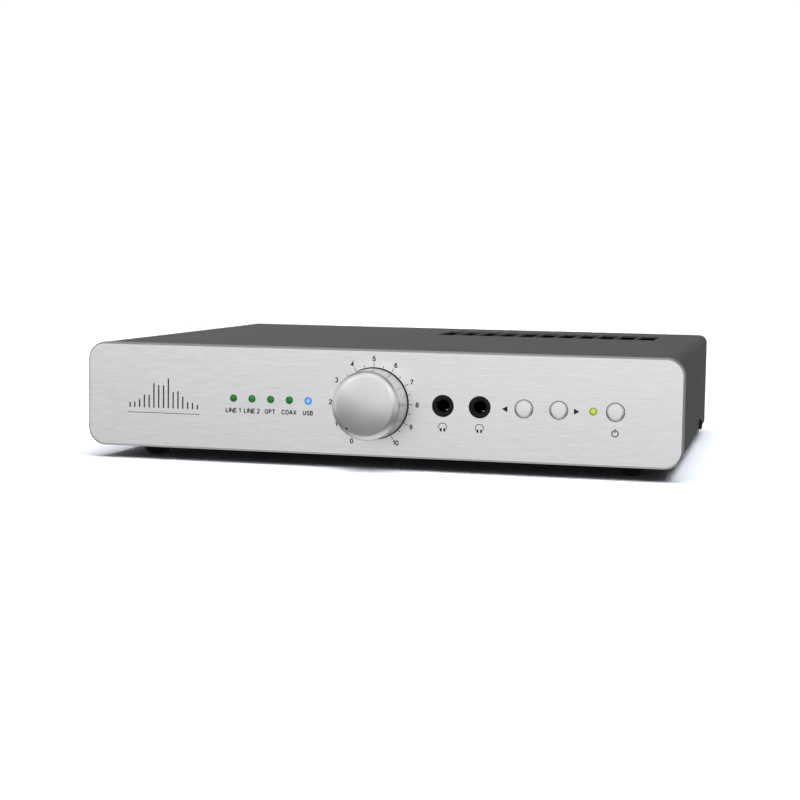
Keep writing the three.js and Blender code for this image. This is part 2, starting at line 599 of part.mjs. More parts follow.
function mainsInlet() {
  const half = INLET.width / 2;
  const back = REAR.back + GAP + 1.6;
  const outline = roundedRect(-half, half, 0, INLET.height, 2);
  const flange = plateXZ(outline, REAR.back + GAP, back, { curveSegments: 4 });
  const body = box(-half + 1, half - 1, INLET_FRONT, back - 0.5, 1, INLET.height - 1);
  const mouth = new THREE.Shape();
  mouth.moveTo(-12, 3);
  mouth.lineTo(12, 3);
  mouth.lineTo(12, 14);
  mouth.lineTo(7, 19);
  mouth.lineTo(-7, 19);
  mouth.lineTo(-12, 14);
  const cavityFloor = INLET_FRONT + 10;
  const cavity = plateXZ(mouth, cavityFloor, back + 1);
  const pins = [[-7, 8], [7, 8], [0, 12]].map(([x, z]) =>
    box(x - 1, x + 1, cavityFloor - 1, cavityFloor + 10, z - 2, z + 2),
  );
  const pocket = box(
    -DRAWER.halfWidth - GAP, DRAWER.halfWidth + GAP,
    back - DRAWER.depth - GAP, back + 1,
    DRAWER.bottom - GAP, DRAWER.bottom + DRAWER.height + GAP,
  );
  return cut(union(flange, body), cut(cavity, ...pins), pocket);
}

// The drawer's own zero is its outer face, at the middle of its underside.
function fuseDrawer() {
  const { halfWidth, height, depth } = DRAWER;
  const body = box(-halfWidth, halfWidth, -depth, 0.6, 0, height);
  const trough = box(-3.2, 3.2, -depth + 1.2, -1.4, 1, height + 1);
  const sideWells = [-8.2, 8.2].map((x) => box(x - 2.4, x + 2.4, -depth + 1.2, -1.4, 1, height + 1));
  const notch = box(-3, 3, -0.6, 2, -1, 1.2);
  return cut(body, trough, ...sideWells, notch);
}

function fuse() {
  const length = 20;
  const cap = 4.5;
  const lower = [[0, 0], [2.6, 0], [2.6, cap], [2.3, cap]];
  const upper = [[2.3, length - cap], [2.6, length - cap], [2.6, length], [0, length]];
  return turnedY([...lower, ...upper], 0, 0, 12);
}

add(casing, "rear_panel", rearPanel(), "darkPaint");
for (const [use, x] of Object.entries(STEREO_SOCKETS)) {
  add(sockets, `${use}_sockets`, phonoSockets(PHONO.levels), "gold", [x, 0, 0]);
}
add(sockets, "coaxial_socket", phonoSockets(PHONO.levels.slice(0, 1)), "gold", [COAXIAL_X, 0, 0]);
add(sockets, "optical_socket", opticalSocket(), "blackPlastic", [OPTICAL_X, 0, 0]);
const shutterHinge = SOCKET_FLOOR + OPTICAL.height / 2 + OPTICAL.mouth - 0.8;
add(sockets, "optical_shutter", opticalShutter(), "blackPlastic", [OPTICAL_X, REAR.back - 0.6, shutterHinge]);
add(sockets, "usb_socket", usbSocket(), "zinc", [USB_X, 0, 0]);
add(sockets, "mains_inlet", mainsInlet(), "blackPlastic", [INLET.x, 0, INLET.bottom]);
const drawerFace = REAR.back + GAP + 1.6;
const drawerFloor = INLET.bottom + DRAWER.bottom;
add(sockets, "fuse_drawer", fuseDrawer(), "blackPlastic", [INLET.x, drawerFace, drawerFloor]);
add(sockets, "mains_fuse", fuse(), "glass", [INLET.x, drawerFace - DRAWER.depth + 1.6, drawerFloor + 3.9]);

// Leads inside the case: mains from the inlet to the transformer, and low voltage from it to the main board.
const LEAD_RADIUS = 2;
const inletEnd = INLET_FRONT - 0.4;
const mainsRoute = [
  [INLET.x, inletEnd, 30], [INLET.x, inletEnd - 12.6, 30], [-128, 190, 22], [-127, 156, 20], [-118, 134, 20],
  [-112, 127.6, 22],
];
add(works, "primary_lead", lead(mainsRoute, LEAD_RADIUS), "leadSheath");
const supplyEnd = MAIN_BOARD.left + 3 - 2 * GAP;
const supplyRoute = [[-62.4, 86, 24], [-58, 88, 23], [-53, 96, 22], [-47, 98, 22], [supplyEnd, 98, 22]];
add(works, "secondary_lead", lead(supplyRoute, LEAD_RADIUS), "leadSheath");

export default device;
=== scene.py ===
import math

import bmesh
import bpy
from mathutils import Matrix, Vector

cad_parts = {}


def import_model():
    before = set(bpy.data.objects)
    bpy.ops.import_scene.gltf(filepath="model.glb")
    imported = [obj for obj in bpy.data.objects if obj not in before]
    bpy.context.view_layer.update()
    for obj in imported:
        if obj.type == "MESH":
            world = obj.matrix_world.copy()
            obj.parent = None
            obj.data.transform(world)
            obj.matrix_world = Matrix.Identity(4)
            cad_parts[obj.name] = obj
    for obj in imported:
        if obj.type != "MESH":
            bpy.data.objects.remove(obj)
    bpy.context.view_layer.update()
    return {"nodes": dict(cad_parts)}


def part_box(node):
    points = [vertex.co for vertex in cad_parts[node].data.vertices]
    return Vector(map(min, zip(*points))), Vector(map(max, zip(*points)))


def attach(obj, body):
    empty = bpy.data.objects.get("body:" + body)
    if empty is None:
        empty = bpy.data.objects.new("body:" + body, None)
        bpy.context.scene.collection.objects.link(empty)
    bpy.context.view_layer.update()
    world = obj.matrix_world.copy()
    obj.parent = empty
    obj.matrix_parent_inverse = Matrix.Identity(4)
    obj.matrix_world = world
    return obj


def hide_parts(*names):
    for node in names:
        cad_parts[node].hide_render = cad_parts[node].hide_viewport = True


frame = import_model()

MM = 0.001
INPUTS = ("line_1", "line_2", "optical", "coaxial", "usb")
BUTTONS = ("previous", "next", "power")
SIDES = ("left", "right")
CORNERS = [f"{end}_{side}" for end in ("front", "rear") for side in SIDES]


def middle(node):
    """The centre of a CAD node's box, in millimetres."""
    low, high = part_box(node)
    return (low + high) / 2 / MM


def corners(node):
    """The lowest and highest corner of a CAD node's box, in millimetres."""
    low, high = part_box(node)
    return low / MM, high / MM


def centre_line(node):
    """Where the line along Y through a CAD node's centre crosses y = 0."""
    at = middle(node)
    return at.x, 0, at.z


# ---------------------------------------------------------------- meshes, in millimetres until they are made
def clean(bm):
    """Welds the points that meet and turns every face outwards."""
    bmesh.ops.remove_doubles(bm, verts=bm.verts, dist=1e-4)
    bmesh.ops.recalc_face_normals(bm, faces=bm.faces)


def placed(name, bm):
    """The bmesh as an object in the scene."""
    mesh = bpy.data.meshes.new(name)
    bm.to_mesh(mesh)
    bm.free()
    thing = bpy.data.objects.new(name, mesh)
    bpy.context.scene.collection.objects.link(thing)
    return thing


def make(name, bm, finish, node=None, body="case", sharp=28):
    """Turns a bmesh into a piece that rides on a body and, where a CAD node is given, stands for it.

    finish is a key of MATERIALS. Edges that turn by sharp degrees or more stay sharp.
    """
    clean(bm)
    limit = math.radians(sharp)
    for face in bm.faces:
        face.smooth = True
    for edge in bm.edges:
        edge.smooth = len(edge.link_faces) == 2 and edge.calc_face_angle(0) < limit
    bmesh.ops.scale(bm, vec=(MM, MM, MM), verts=bm.verts)
    piece = placed(name, bm)
    piece.data.materials.append(MATERIALS[finish])
    normals = piece.modifiers.new("normals", "WEIGHTED_NORMAL")
    normals.keep_sharp = True
    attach(piece, body)
    if node:
        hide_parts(node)


def fillet(profile, steps=5):
    """Rounds each (r, y, radius) corner of an open profile with an arc; points with no radius stay sharp."""
    points = []
    for i, corner in enumerate(profile):
        here = Vector(corner[:2])
        radius = corner[2] if len(corner) > 2 else 0
        if not radius or i in (0, len(profile) - 1):
            points.append(here)
            continue
        to_last = (Vector(profile[i - 1][:2]) - here).normalized()
        to_next = (Vector(profile[i + 1][:2]) - here).normalized()
        half = to_last.angle(to_next) / 2
        reach = radius / math.tan(half)
        centre = here + (to_last + to_next).normalized() * (radius / math.sin(half))
        start, end = here + to_last * reach - centre, here + to_next * reach - centre
        turn = start.angle_signed(end)
        for k in range(steps + 1):
            points.append(centre + Matrix.Rotation(-turn * k / steps, 2) @ start)
    return points


def turned(profile, origin, axis="Y", segments=96, steps=5):
    """A solid of revolution through origin. Profile corners are (radius, height along the axis, fillet)."""
    bm = bmesh.new()
    add_turned(bm, profile, origin, axis, segments, steps)
    return bm


def add_turned(bm, profile, origin, axis="Y", segments=96, steps=5):
    rings = []
    for radius, height in fillet(profile, steps):
        if radius < 1e-6:
            rings.append([bm.verts.new(place(0, 0, height, origin, axis))])
            continue
        ring = []
        for k in range(segments):
            angle = 2 * math.pi * k / segments
            u, v = radius * math.cos(angle), radius * math.sin(angle)
            ring.append(bm.verts.new(place(u, v, height, origin, axis)))
        rings.append(ring)
    for a, b in zip(rings, rings[1:]):
        bridge(bm, a, b)


def from_y(y, profile):
    """A turned profile moved along its axis by y."""
    return [(radius, y + height, *soft) for radius, height, *soft in profile]


def place(u, v, height, origin, axis):
    spots = {"X": (height, u, v), "Y": (u, height, v), "Z": (u, v, height)}
    return Vector(spots[axis]) + Vector(origin)


def bridge(bm, a, b):
    """Faces between two rings with the same number of points; either may be a single point."""
    count = max(len(a), len(b))
    for k in range(count):
        loop = [a[k % len(a)], a[(k + 1) % len(a)], b[(k + 1) % len(b)], b[k % len(b)]]
        unique = list(dict.fromkeys(loop))
        if len(unique) > 2:
            bm.faces.new(unique)


def rounded_outline(left, right, low, high, radius, steps=12):
    """Points round a rectangle with round corners."""
    points = []
    for cx, cz, start in (
        (right - radius, low + radius, -90),
        (right - radius, high - radius, 0),
        (left + radius, high - radius, 90),
        (left + radius, low + radius, 180),
    ):
        for k in range(steps + 1):
            angle = math.radians(start + 90 * k / steps)
            points.append((cx + radius * math.cos(angle), cz + radius * math.sin(angle)))
    return points


def circle(x, z, radius, count):
    angles = [2 * math.pi * k / count for k in range(count)]
    return [(x + radius * math.cos(a), z + radius * math.sin(a)) for a in angles]


def tube(bm, rings):
    """Walls through rings of points in turn. Returns the rings as vertices."""
    made = [[bm.verts.new(point) for point in ring] for ring in rings]
    for a, b in zip(made, made[1:]):
        bridge(bm, a, b)
    return made


def capped(rings):
    """A solid through rings of points in turn, closed at both its ends."""
    bm = bmesh.new()
    made = tube(bm, rings)
    bm.faces.new(made[0])
    bm.faces.new(made[-1])
    return bm


def across_y(outline, y):
    return [(x, y, z) for x, z in outline]


def across_z(outline, z):
    return [(x, y, z) for x, y in outline]


def ring_edges(bm, ring):
    """The edges round a ring of vertices, made where they are missing."""
    pairs = zip(ring, ring[1:] + ring[:1])
    return [bm.edges.get(pair) or bm.edges.new(pair) for pair in pairs]


def fill(bm, loops):
    """A flat face inside the first loop and outside the others."""
    edges = [edge for loop in loops for edge in ring_edges(bm, loop)]
    bmesh.ops.triangle_fill(bm, use_beauty=True, use_dissolve=False, edges=edges)


def plate(bm, outer, holes):
    """A plate with holes. outer and each hole are rings of points from one face to the other."""
    made = [tube(bm, rings) for rings in (outer, *holes)]
    fill(bm, [rings[0] for rings in made])
    fill(bm, [rings[-1] for rings in made])


def hole(x, z, radius, y0, y1, edge=0.06):
    """Rings down a round hole along Y, with both its edges slightly broken."""
    steps = ((radius + edge, y0), (radius, y0 + edge), (radius, y1 - edge), (radius + edge, y1))
    return [across_y(circle(x, z, r, 48), y) for r, y in steps]


def carved(bm, *cutters):
    """bm with the cutters' solids taken away from it."""
    passing = []
    for solid in (bm, *cutters):
        clean(solid)
        passing.append(placed("passing", solid))
    base, *tools = passing
    for tool in tools:
        cut = base.modifiers.new("cut", "BOOLEAN")
        cut.operation = "DIFFERENCE"
        cut.solver = "EXACT"
        cut.object = tool
    bpy.context.view_layer.update()
    mesh = base.evaluated_get(bpy.context.evaluated_depsgraph_get()).to_mesh()
    result = bmesh.new()
    result.from_mesh(mesh)
    for thing in passing:
        mesh = thing.data
        bpy.data.objects.remove(thing)
        bpy.data.meshes.remove(mesh)
    return result


def rounded_block(low, high, radius):
    """A box with rounded edges, from its lowest corner to its highest."""
    bm = bmesh.new()
    add_rounded_block(bm, low, high, radius)
    return bm


def add_rounded_block(bm, low, high, radius, segments=3):
    made = bmesh.ops.create_cube(bm, size=1)["verts"]
    for v in made:
        v.co = [a + (b - a) * (t + 0.5) for a, b, t in zip(low, high, v.co)]
    edges = list(dict.fromkeys(edge for v in made for edge in v.link_edges))
    bmesh.ops.bevel(bm, geom=edges, offset=radius, segments=segments, profile=0.5, affect="EDGES")


def prism(bm, outline, y0, y1):
    """A flat outline in X and Z with a thickness along Y."""
    near = [bm.verts.new((x, y0, z)) for x, z in outline]
    far = [bm.verts.new((x, y1, z)) for x, z in outline]
    bridge(bm, near, far)
    bm.faces.new(near)
    bm.faces.new(far)


def stroke(bm, points, width, y0, y1, closed=False):
    """A line of even width through points, mitred at its corners, as a thin solid."""
    sides = ([], [])
    count = len(points)
    spots = [Vector(point) for point in points]
    for k, spot in enumerate(spots):
        ways = []
        if closed or k:
            ways.append((spot - spots[k - 1]).normalized())
        if closed or k < count - 1:
            ways.append((spots[(k + 1) % count] - spot).normalized())
        along = (ways[0] + ways[-1]).normalized()
        across = Vector((-along.y, along.x)) * width / 2 / max(along.dot(ways[0]), 0.25)
        sides[0].append((spot + across)[:])
        sides[1].append((spot - across)[:])
    if not closed:
        prism(bm, sides[0] + sides[1][::-1], y0, y1)
        return
    section = ((sides[0], y0), (sides[0], y1), (sides[1], y1), (sides[1], y0))
    rings = [[bm.verts.new((x, y, z)) for x, z in side] for side, y in section]
    for a, b in zip(rings, rings[1:] + rings[:1]):
        bridge(bm, a, b)


def arc_points(x, z, radius, start, end):
    """Points along an arc; angles in degrees clockwise from straight up."""
    steps = 24
    angles = [math.radians(start + (end - start) * k / steps) for k in range(steps + 1)]
    return [(x + radius * math.sin(a), z + radius * math.cos(a)) for a in angles]


def ellipse(x, z, wide, tall, start, end, steps=16):
    """Points along part of an ellipse; angles in degrees anticlockwise from the right."""
    angles = [math.radians(start + (end - start) * k / steps) for k in range(steps + 1)]
    return [(x + wide * math.cos(a), z + tall * math.sin(a)) for a in angles]


def ring_of(x, z, wide, tall):
    return ellipse(x, z, wide, tall, 0, 360 - 360 / 32, 31)


# Plain upright characters one unit tall: each has its width and its strokes. None starts a closed stroke.
BOWL = ellipse(0.31, 0.735, 0.27, 0.265, 90, -90)
GLYPHS = {
    "0": (0.58, [[None, *ring_of(0.29, 0.5, 0.29, 0.5)]]),
    "1": (0.38, [[(0.04, 0.76), (0.34, 1.0), (0.34, 0)]]),
    "2": (0.58, [[*ellipse(0.29, 0.71, 0.27, 0.29, 170, -35), (0.03, 0), (0.58, 0)]]),
    "3": (0.58, [ellipse(0.28, 0.745, 0.25, 0.255, 155, -85),
                 ellipse(0.28, 0.265, 0.29, 0.265, 85, -155)]),
    "4": (0.62, [[(0.45, 0), (0.45, 1), (0.02, 0.3), (0.62, 0.3)]]),
    "5": (0.58, [[(0.54, 1), (0.11, 1), (0.06, 0.53), *ellipse(0.28, 0.32, 0.29, 0.32, 130, -155)]]),
    "6": (0.58, [[None, *ring_of(0.3, 0.31, 0.28, 0.31)], ellipse(0.42, 0.34, 0.4, 0.66, 75, 178)]),
    "7": (0.58, [[(0, 1), (0.58, 1), (0.18, 0)]]),
    "8": (0.58, [[None, *ring_of(0.29, 0.75, 0.24, 0.25)], [None, *ring_of(0.29, 0.26, 0.29, 0.26)]]),
    "9": (0.58, [[None, *ring_of(0.28, 0.69, 0.28, 0.31)], ellipse(0.16, 0.66, 0.4, 0.66, 255, 358)]),
    "A": (0.72, [[(0, 0), (0.36, 1), (0.72, 0)], [(0.13, 0.32), (0.59, 0.32)]]),
    "B": (0.6, [[(0.3, 0.53), *ellipse(0.32, 0.265, 0.28, 0.265, 80, -90), (0, 0), (0, 1),
                 *ellipse(0.3, 0.765, 0.25, 0.235, 90, -90), (0.02, 0.53)]]),
    "C": (0.68, [ellipse(0.36, 0.5, 0.36, 0.5, 42, 318, 28)]),
    "E": (0.6, [[(0.6, 1), (0, 1), (0, 0), (0.61, 0)], [(0, 0.52), (0.55, 0.52)]]),
    "I": (0.0, [[(0, 0), (0, 1)]]),
    "L": (0.54, [[(0, 1), (0, 0), (0.54, 0)]]),
    "N": (0.72, [[(0, 0), (0, 1), (0.72, 0), (0.72, 1)]]),
    "O": (0.74, [[None, *ring_of(0.37, 0.5, 0.37, 0.5)]]),
    "P": (0.58, [[(0, 0), (0, 1), *BOWL, (0, 0.47)]]),
    "R": (0.6, [[(0, 0), (0, 1), *BOWL, (0, 0.47)], [(0.3, 0.45), (0.6, 0)]]),
    "S": (0.58, [[*ellipse(0.29, 0.75, 0.25, 0.25, 25, 265), *ellipse(0.29, 0.255, 0.28, 0.255, 85, -155)]]),
    "T": (0.64, [[(0, 1), (0.64, 1)], [(0.32, 1), (0.32, 0)]]),
    "U": (0.62, [[(0, 1), *ellipse(0.31, 0.31, 0.31, 0.31, 180, 360), (0.62, 1)]]),
    "X": (0.66, [[(0, 0), (0.66, 1)], [(0, 1), (0.66, 0)]]),
    " ": (0.02, []),
}
LETTER_GAP = 0.31


def lettering(bm, text, x, z, height, weight, y0, y1, facing=1):
    """Letters centred on (x, z), as thin solids. facing -1 is read from the rear.

    Strokes that cross lie in steps of depth, so that no two of their faces share a plane.
    """
    step, steps = 0.003, 3
    scale = height - weight
    width = sum(GLYPHS[c][0] for c in text) + LETTER_GAP * (len(text) - 1)
    start, layer = -width / 2, 0
    for character in text:
        wide, strokes = GLYPHS[character]
        for points in strokes:
            closed = points[0] is None
            spots = [(x + facing * scale * (start + u), z + scale * (v - 0.5)) for u, v in points[closed:]]
            stroke(bm, spots, weight, y0 + step * layer, y1, closed)
            layer = (layer + 1) % steps
        start += wide + LETTER_GAP


# ---------------------------------------------------------------- materials
def feed(tree, socket, value):
    """Gives a socket a constant, or links another node's output to it."""
    if isinstance(value, bpy.types.NodeSocket):
        tree.links.new(value, socket)
    else:
        socket.default_value = value


def add_node(tree, kind, inputs=None):
    node = tree.nodes.new(f"ShaderNode{kind}")
    for socket, value in (inputs or {}).items():
        feed(tree, node.inputs[socket], value)
    return node


def mixed(tree, factor, a, b, blend="MIX"):
    """A colour between a and b."""
    node = tree.nodes.new("ShaderNodeMix")
    node.data_type, node.blend_type = "RGBA", blend
    for socket, value in (("Factor", factor), ("A", a), ("B", b)):
        feed(tree, node.inputs[socket], value)
    return node.outputs["Result"]


class Material:
    """A principled material with short calls for the procedural nodes that feed it."""

    def __init__(self, name, sockets):
        self.material = bpy.data.materials.new(name)
        self.material.use_nodes = True
        self.tree = self.material.node_tree
        self.shader = self.tree.nodes["Principled BSDF"]
        self.coordinates = add_node(self.tree, "TexCoord")
        for socket, value in sockets.items():
            self.drive(socket, value)

    def drive(self, socket, value):
        feed(self.tree, self.shader.inputs[socket], value)

    def noise(self, scale, detail=2, stretch=(1, 1, 1), roughness=0.55):
        place = {"Vector": self.coordinates.outputs["Object"], "Scale": stretch}
        mapping = add_node(self.tree, "Mapping", place)
        grain = {"Scale": scale, "Detail": detail, "Roughness": roughness}
        return add_node(self.tree, "TexNoise", {"Vector": mapping.outputs["Vector"], **grain}).outputs["Fac"]

    def spread(self, value, low, high, from_low=0.3, from_high=0.7):
        """Maps a texture's middle range onto low to high."""
        ends = {"From Min": from_low, "From Max": from_high, "To Min": low, "To Max": high}
        return add_node(self.tree, "MapRange", {"Value": value, **ends}).outputs["Result"]

    def math(self, operation, a, b):
        node = add_node(self.tree, "Math", {0: a, 1: b})
        node.operation = operation
        return node.outputs["Value"]

    def blend(self, a, b, share):
        """Two textures in one: a's share, and b for the rest."""
        return self.math("ADD", self.math("MULTIPLY", a, share), self.math("MULTIPLY", b, 1 - share))

    def tint(self, texture, colour, low, high, edges=None):
        """Base colour from low to high times the colour, along the texture.

        Bevels and sides, which don't face along Y, keep only the amount edges of it: a painted shade that
        darkens them.
        """
        dark, light = [(*(c * factor for c in colour), 1) for factor in (low, high)]
        base = mixed(self.tree, self.spread(texture, 0, 1), dark, light)
        # painted shade: bevels and sides darker in colour than the face
        if edges:
            axes = add_node(self.tree, "SeparateXYZ", {"Vector": self.coordinates.outputs["Normal"]})
            facing = self.spread(self.math("ABSOLUTE", axes.outputs["Y"], 0), edges, 1, 0.85, 0.97)
            base = mixed(self.tree, 1, base, facing, "MULTIPLY")
        self.drive("Base Color", base)

    def bump(self, height, strength, distance):
        relief = {"Strength": strength, "Distance": distance, "Height": height}
        self.drive("Normal", add_node(self.tree, "Bump", relief).outputs["Normal"])
        return self.material


def brushed_metal(name, colour, roughness, contrast, edges):
    """Metal with fine streaks along X, in two lengths, that change its colour, gloss and relief."""
    m = Material(name, {"Metallic": 1})
    along = (0.8, 16, 16)
    fine = m.noise(160, 4, along, 0.7)
    broad = m.noise(45, 2, along)
    grain = m.blend(fine, broad, 0.88)
    # edges darkens the bevels and sides: painted shade
    m.tint(grain, colour, 1 - contrast, 1 + contrast, edges)
    m.drive("Roughness", m.spread(grain, roughness - 0.05, roughness + 0.05))
    return m.bump(grain, 0.12, 0.00004)


def satin_metal(name, colour, roughness, contrast=0.02, turned_round_y=False, edges=None):
    """Anodised metal, even but for a very fine grain. A turned piece spreads its gloss across its marks."""
    m = Material(name, {"Metallic": 1})
    if turned_round_y:
        tangent = add_node(m.tree, "Tangent")
        tangent.direction_type, tangent.axis = "RADIAL", "Y"
        m.drive("Tangent", tangent.outputs["Tangent"])
        m.drive("Anisotropic", 0.4)
        m.drive("Anisotropic Rotation", 0.25)
    grain = m.noise(4200)
    # Given edges, bevels and sides are darkened in colour: painted shade
    m.tint(m.noise(60), colour, 1 - contrast, 1 + contrast, edges)
    m.drive("Roughness", m.spread(grain, roughness - 0.03, roughness + 0.04))
    return m.bump(grain, 0.08, 0.00002)


def powder_coat(name, colour, roughness=0.55, gloss=0.22):
    """Textured stove enamel: a fine pimpled skin, slightly uneven in colour."""
    m = Material(name, {"Specular IOR Level": gloss})
    pimples = m.noise(1100, 3, roughness=0.7)
    cloud = m.noise(35, 3)
    m.tint(m.blend(pimples, cloud, 0.75), colour, 0.72, 1.28)
    m.drive("Roughness", m.spread(pimples, roughness - 0.07, roughness + 0.09))
    return m.bump(pimples, 0.35, 0.00012)


def plastic(name, colour, roughness, grain=1500, relief=0.15, gloss=0.5):
    m = Material(name, {"Specular IOR Level": gloss})
    texture = m.noise(grain)
    m.tint(texture, colour, 0.85, 1.15)
    m.drive("Roughness", m.spread(texture, roughness - 0.06, roughness + 0.06))
    return m.bump(texture, relief, 0.00005)


def lamp_lens(name, colour, node=None, glow=0.0, core=None, rim=None):
    """A tinted lens. A lit one, given by its node, glows in one colour in its middle and another round it."""
    m = Material(name, {"Roughness": 0.25, "Specular IOR Level": 0.3})
    m.tint(m.noise(900), colour, 0.8, 1.2)
    if node:
        low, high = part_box(node)
        tip = ((low.x + high.x) / 2, low.y, (low.z + high.z) / 2)
        offset = add_node(m.tree, "VectorMath", {0: m.coordinates.outputs["Object"], 1: tip})
        offset.operation = "DISTANCE"
        across = m.spread(offset.outputs["Value"], 0, 1, 0.5 * MM, 1.7 * MM)
        m.drive("Emission Color", mixed(m.tree, across, (*core, 1), (*rim, 1)))
        m.drive("Emission Strength", glow)
    return m.material


MATERIALS = {
    # The panel's last number darkens its bevels and sides: painted shade.
    "panel": brushed_metal("brushed aluminium", (0.845, 0.85, 0.86), 0.36, 0.1, 0.46),
    "knob": satin_metal("satin aluminium", (0.65, 0.65, 0.655), 0.29, 0.02, True),
    # edges=0.66 darkens the buttons' bevels: painted shade.
    "button": satin_metal("button aluminium", (0.86, 0.865, 0.87), 0.36, edges=0.66),
    "cover": powder_coat("cover powder coat", (0.064, 0.0635, 0.0635)),
    "tray": powder_coat("black powder coat", (0.008, 0.008, 0.008), 0.7, 0.03),
    "rear": powder_coat("rear powder coat", (0.05, 0.05, 0.051)),
    "zinc": satin_metal("zinc plating", (0.6, 0.61, 0.62), 0.3, 0.06),
    "black_screw": satin_metal("black oxide", (0.02, 0.02, 0.021), 0.38, 0.1),
    "rubber": plastic("foot rubber", (0.008, 0.008, 0.008), 0.8, 900, 0.4, 0.06),
    "black": plastic("black plastic", (0.012, 0.012, 0.012), 0.42, gloss=0.35),
    "bezel": plastic("black bezel", (0.004, 0.004, 0.004), 0.36, 2500, 0.08, 0.15),
    "print": plastic("screen print", (0.012, 0.012, 0.013), 0.5, 2000, 0.05, 0.1),
    "white_print": plastic("white screen print", (0.75, 0.75, 0.75), 0.5, 2000, 0.05),
    "green": lamp_lens("green lens", (0.004, 0.15, 0.012)),
    "blue": lamp_lens("blue lens", (0.02, 0.07, 0.25), "usb_indicator",
                      0.8, (0.25, 0.75, 1.0), (0.02, 0.14, 0.7)),
    "yellow": lamp_lens("yellow lens", (0.2, 0.24, 0.015), "power_indicator",
                        0.85, (0.45, 0.5, 0.06), (0.16, 0.2, 0.01)),
    "board": plastic("solder mask", (0.02, 0.12, 0.05), 0.3, 400, 0.2),
    "ribbon": plastic("ribbon cable", (0.42, 0.43, 0.45), 0.5, 700, 0.2),
    "winding": plastic("taped winding", (0.5, 0.19, 0.05), 0.3, 260, 0.5),
    "sleeve": plastic("capacitor sleeve", (0.012, 0.02, 0.07), 0.3, 800, 0.1),
    "heatsink": satin_metal("black anodised", (0.03, 0.03, 0.032), 0.4, 0.1),
    "lead": plastic("lead sheath", (0.02, 0.02, 0.022), 0.55),
    "gold": satin_metal("gold plating", (0.83, 0.62, 0.27), 0.2, 0.04),
    "nickel": satin_metal("nickel plating", (0.62, 0.6, 0.57), 0.22, 0.04),
    "red_ring": plastic("red insulator", (0.5, 0.015, 0.015), 0.35),
    "white_ring": plastic("white insulator", (0.7, 0.7, 0.68), 0.35),
    "glass": plastic("fuse glass", (0.75, 0.8, 0.8), 0.1),
}


# ---------------------------------------------------------------- casing
PANEL_LOW, PANEL_HIGH = corners("front_panel")
FACE = PANEL_LOW.y
CONTROL_Z = (PANEL_LOW.z + PANEL_HIGH.z) / 2
LED_HOLE, JACK_HOLE, BUTTON_HOLE, BUSH_HOLE, PHONO_HOLE, SCREW_HOLE = 1.95, 5.7, 4.8, 4.7, 5.3, 1.8
LED_NODES = [f"{use}_indicator" for use in (*INPUTS, "power")]
JACK_X = [middle(f"headphone_bezel_{side}").x for side in SIDES]
BUTTON_X = [middle(f"{use}_button").x for use in BUTTONS]
LED_X = [middle(node).x for node in LED_NODES]


def front_panel():
    low, high, corner = PANEL_LOW, PANEL_HIGH, 9.5
    outer = []
    for inset, depth in ((1.08, 0), (0.98, 0.03), (0.06, 0.95), (0, 1.1), (0, 5.85), (0.15, 6)):
        sides = (low.x + inset, high.x - inset, low.z + inset, high.z - inset)
        outer.append(across_y(rounded_outline(*sides, corner - inset), FACE + depth))
    recess = ((18.9, 0), (18.8, 0.1), (18.8, 2), (BUSH_HOLE, 2), (BUSH_HOLE, high.y - FACE))
    holes = [[across_y(circle(0, CONTROL_Z, r, 96), FACE + depth) for r, depth in recess]]
    for xs, radius in ((LED_X, LED_HOLE), (JACK_X, JACK_HOLE), (BUTTON_X, BUTTON_HOLE)):
        holes += [hole(x, CONTROL_Z, radius, FACE, high.y) for x in xs]
    bm = bmesh.new()
    plate(bm, outer, holes)
    make("front_plate", bm, "panel", "front_panel", sharp=20)
    # A black ring inside the knob's recess: painted shade in the gap round the knob.
    ring = [(18.6, 0.05), (18.76, 0.05, 0.05), (18.76, 1.95), (18.42, 1.95), (18.42, 0.05), (18.6, 0.05)]
    make("painted_shade_ring", turned(from_y(FACE, ring), (0, 0, CONTROL_Z), segments=144), "bezel")


VENTS = {"count": 11, "first": -0.4, "pitch": 12.3, "width": 10.8, "front": 49, "back": 100}


def vent_outline(x, grown):
    half = VENTS["width"] / 2 + grown
    front, back = VENTS["front"] - grown, VENTS["back"] + grown
    return rounded_outline(x - half, x + half, front, back, 0.9 + grown, 5)


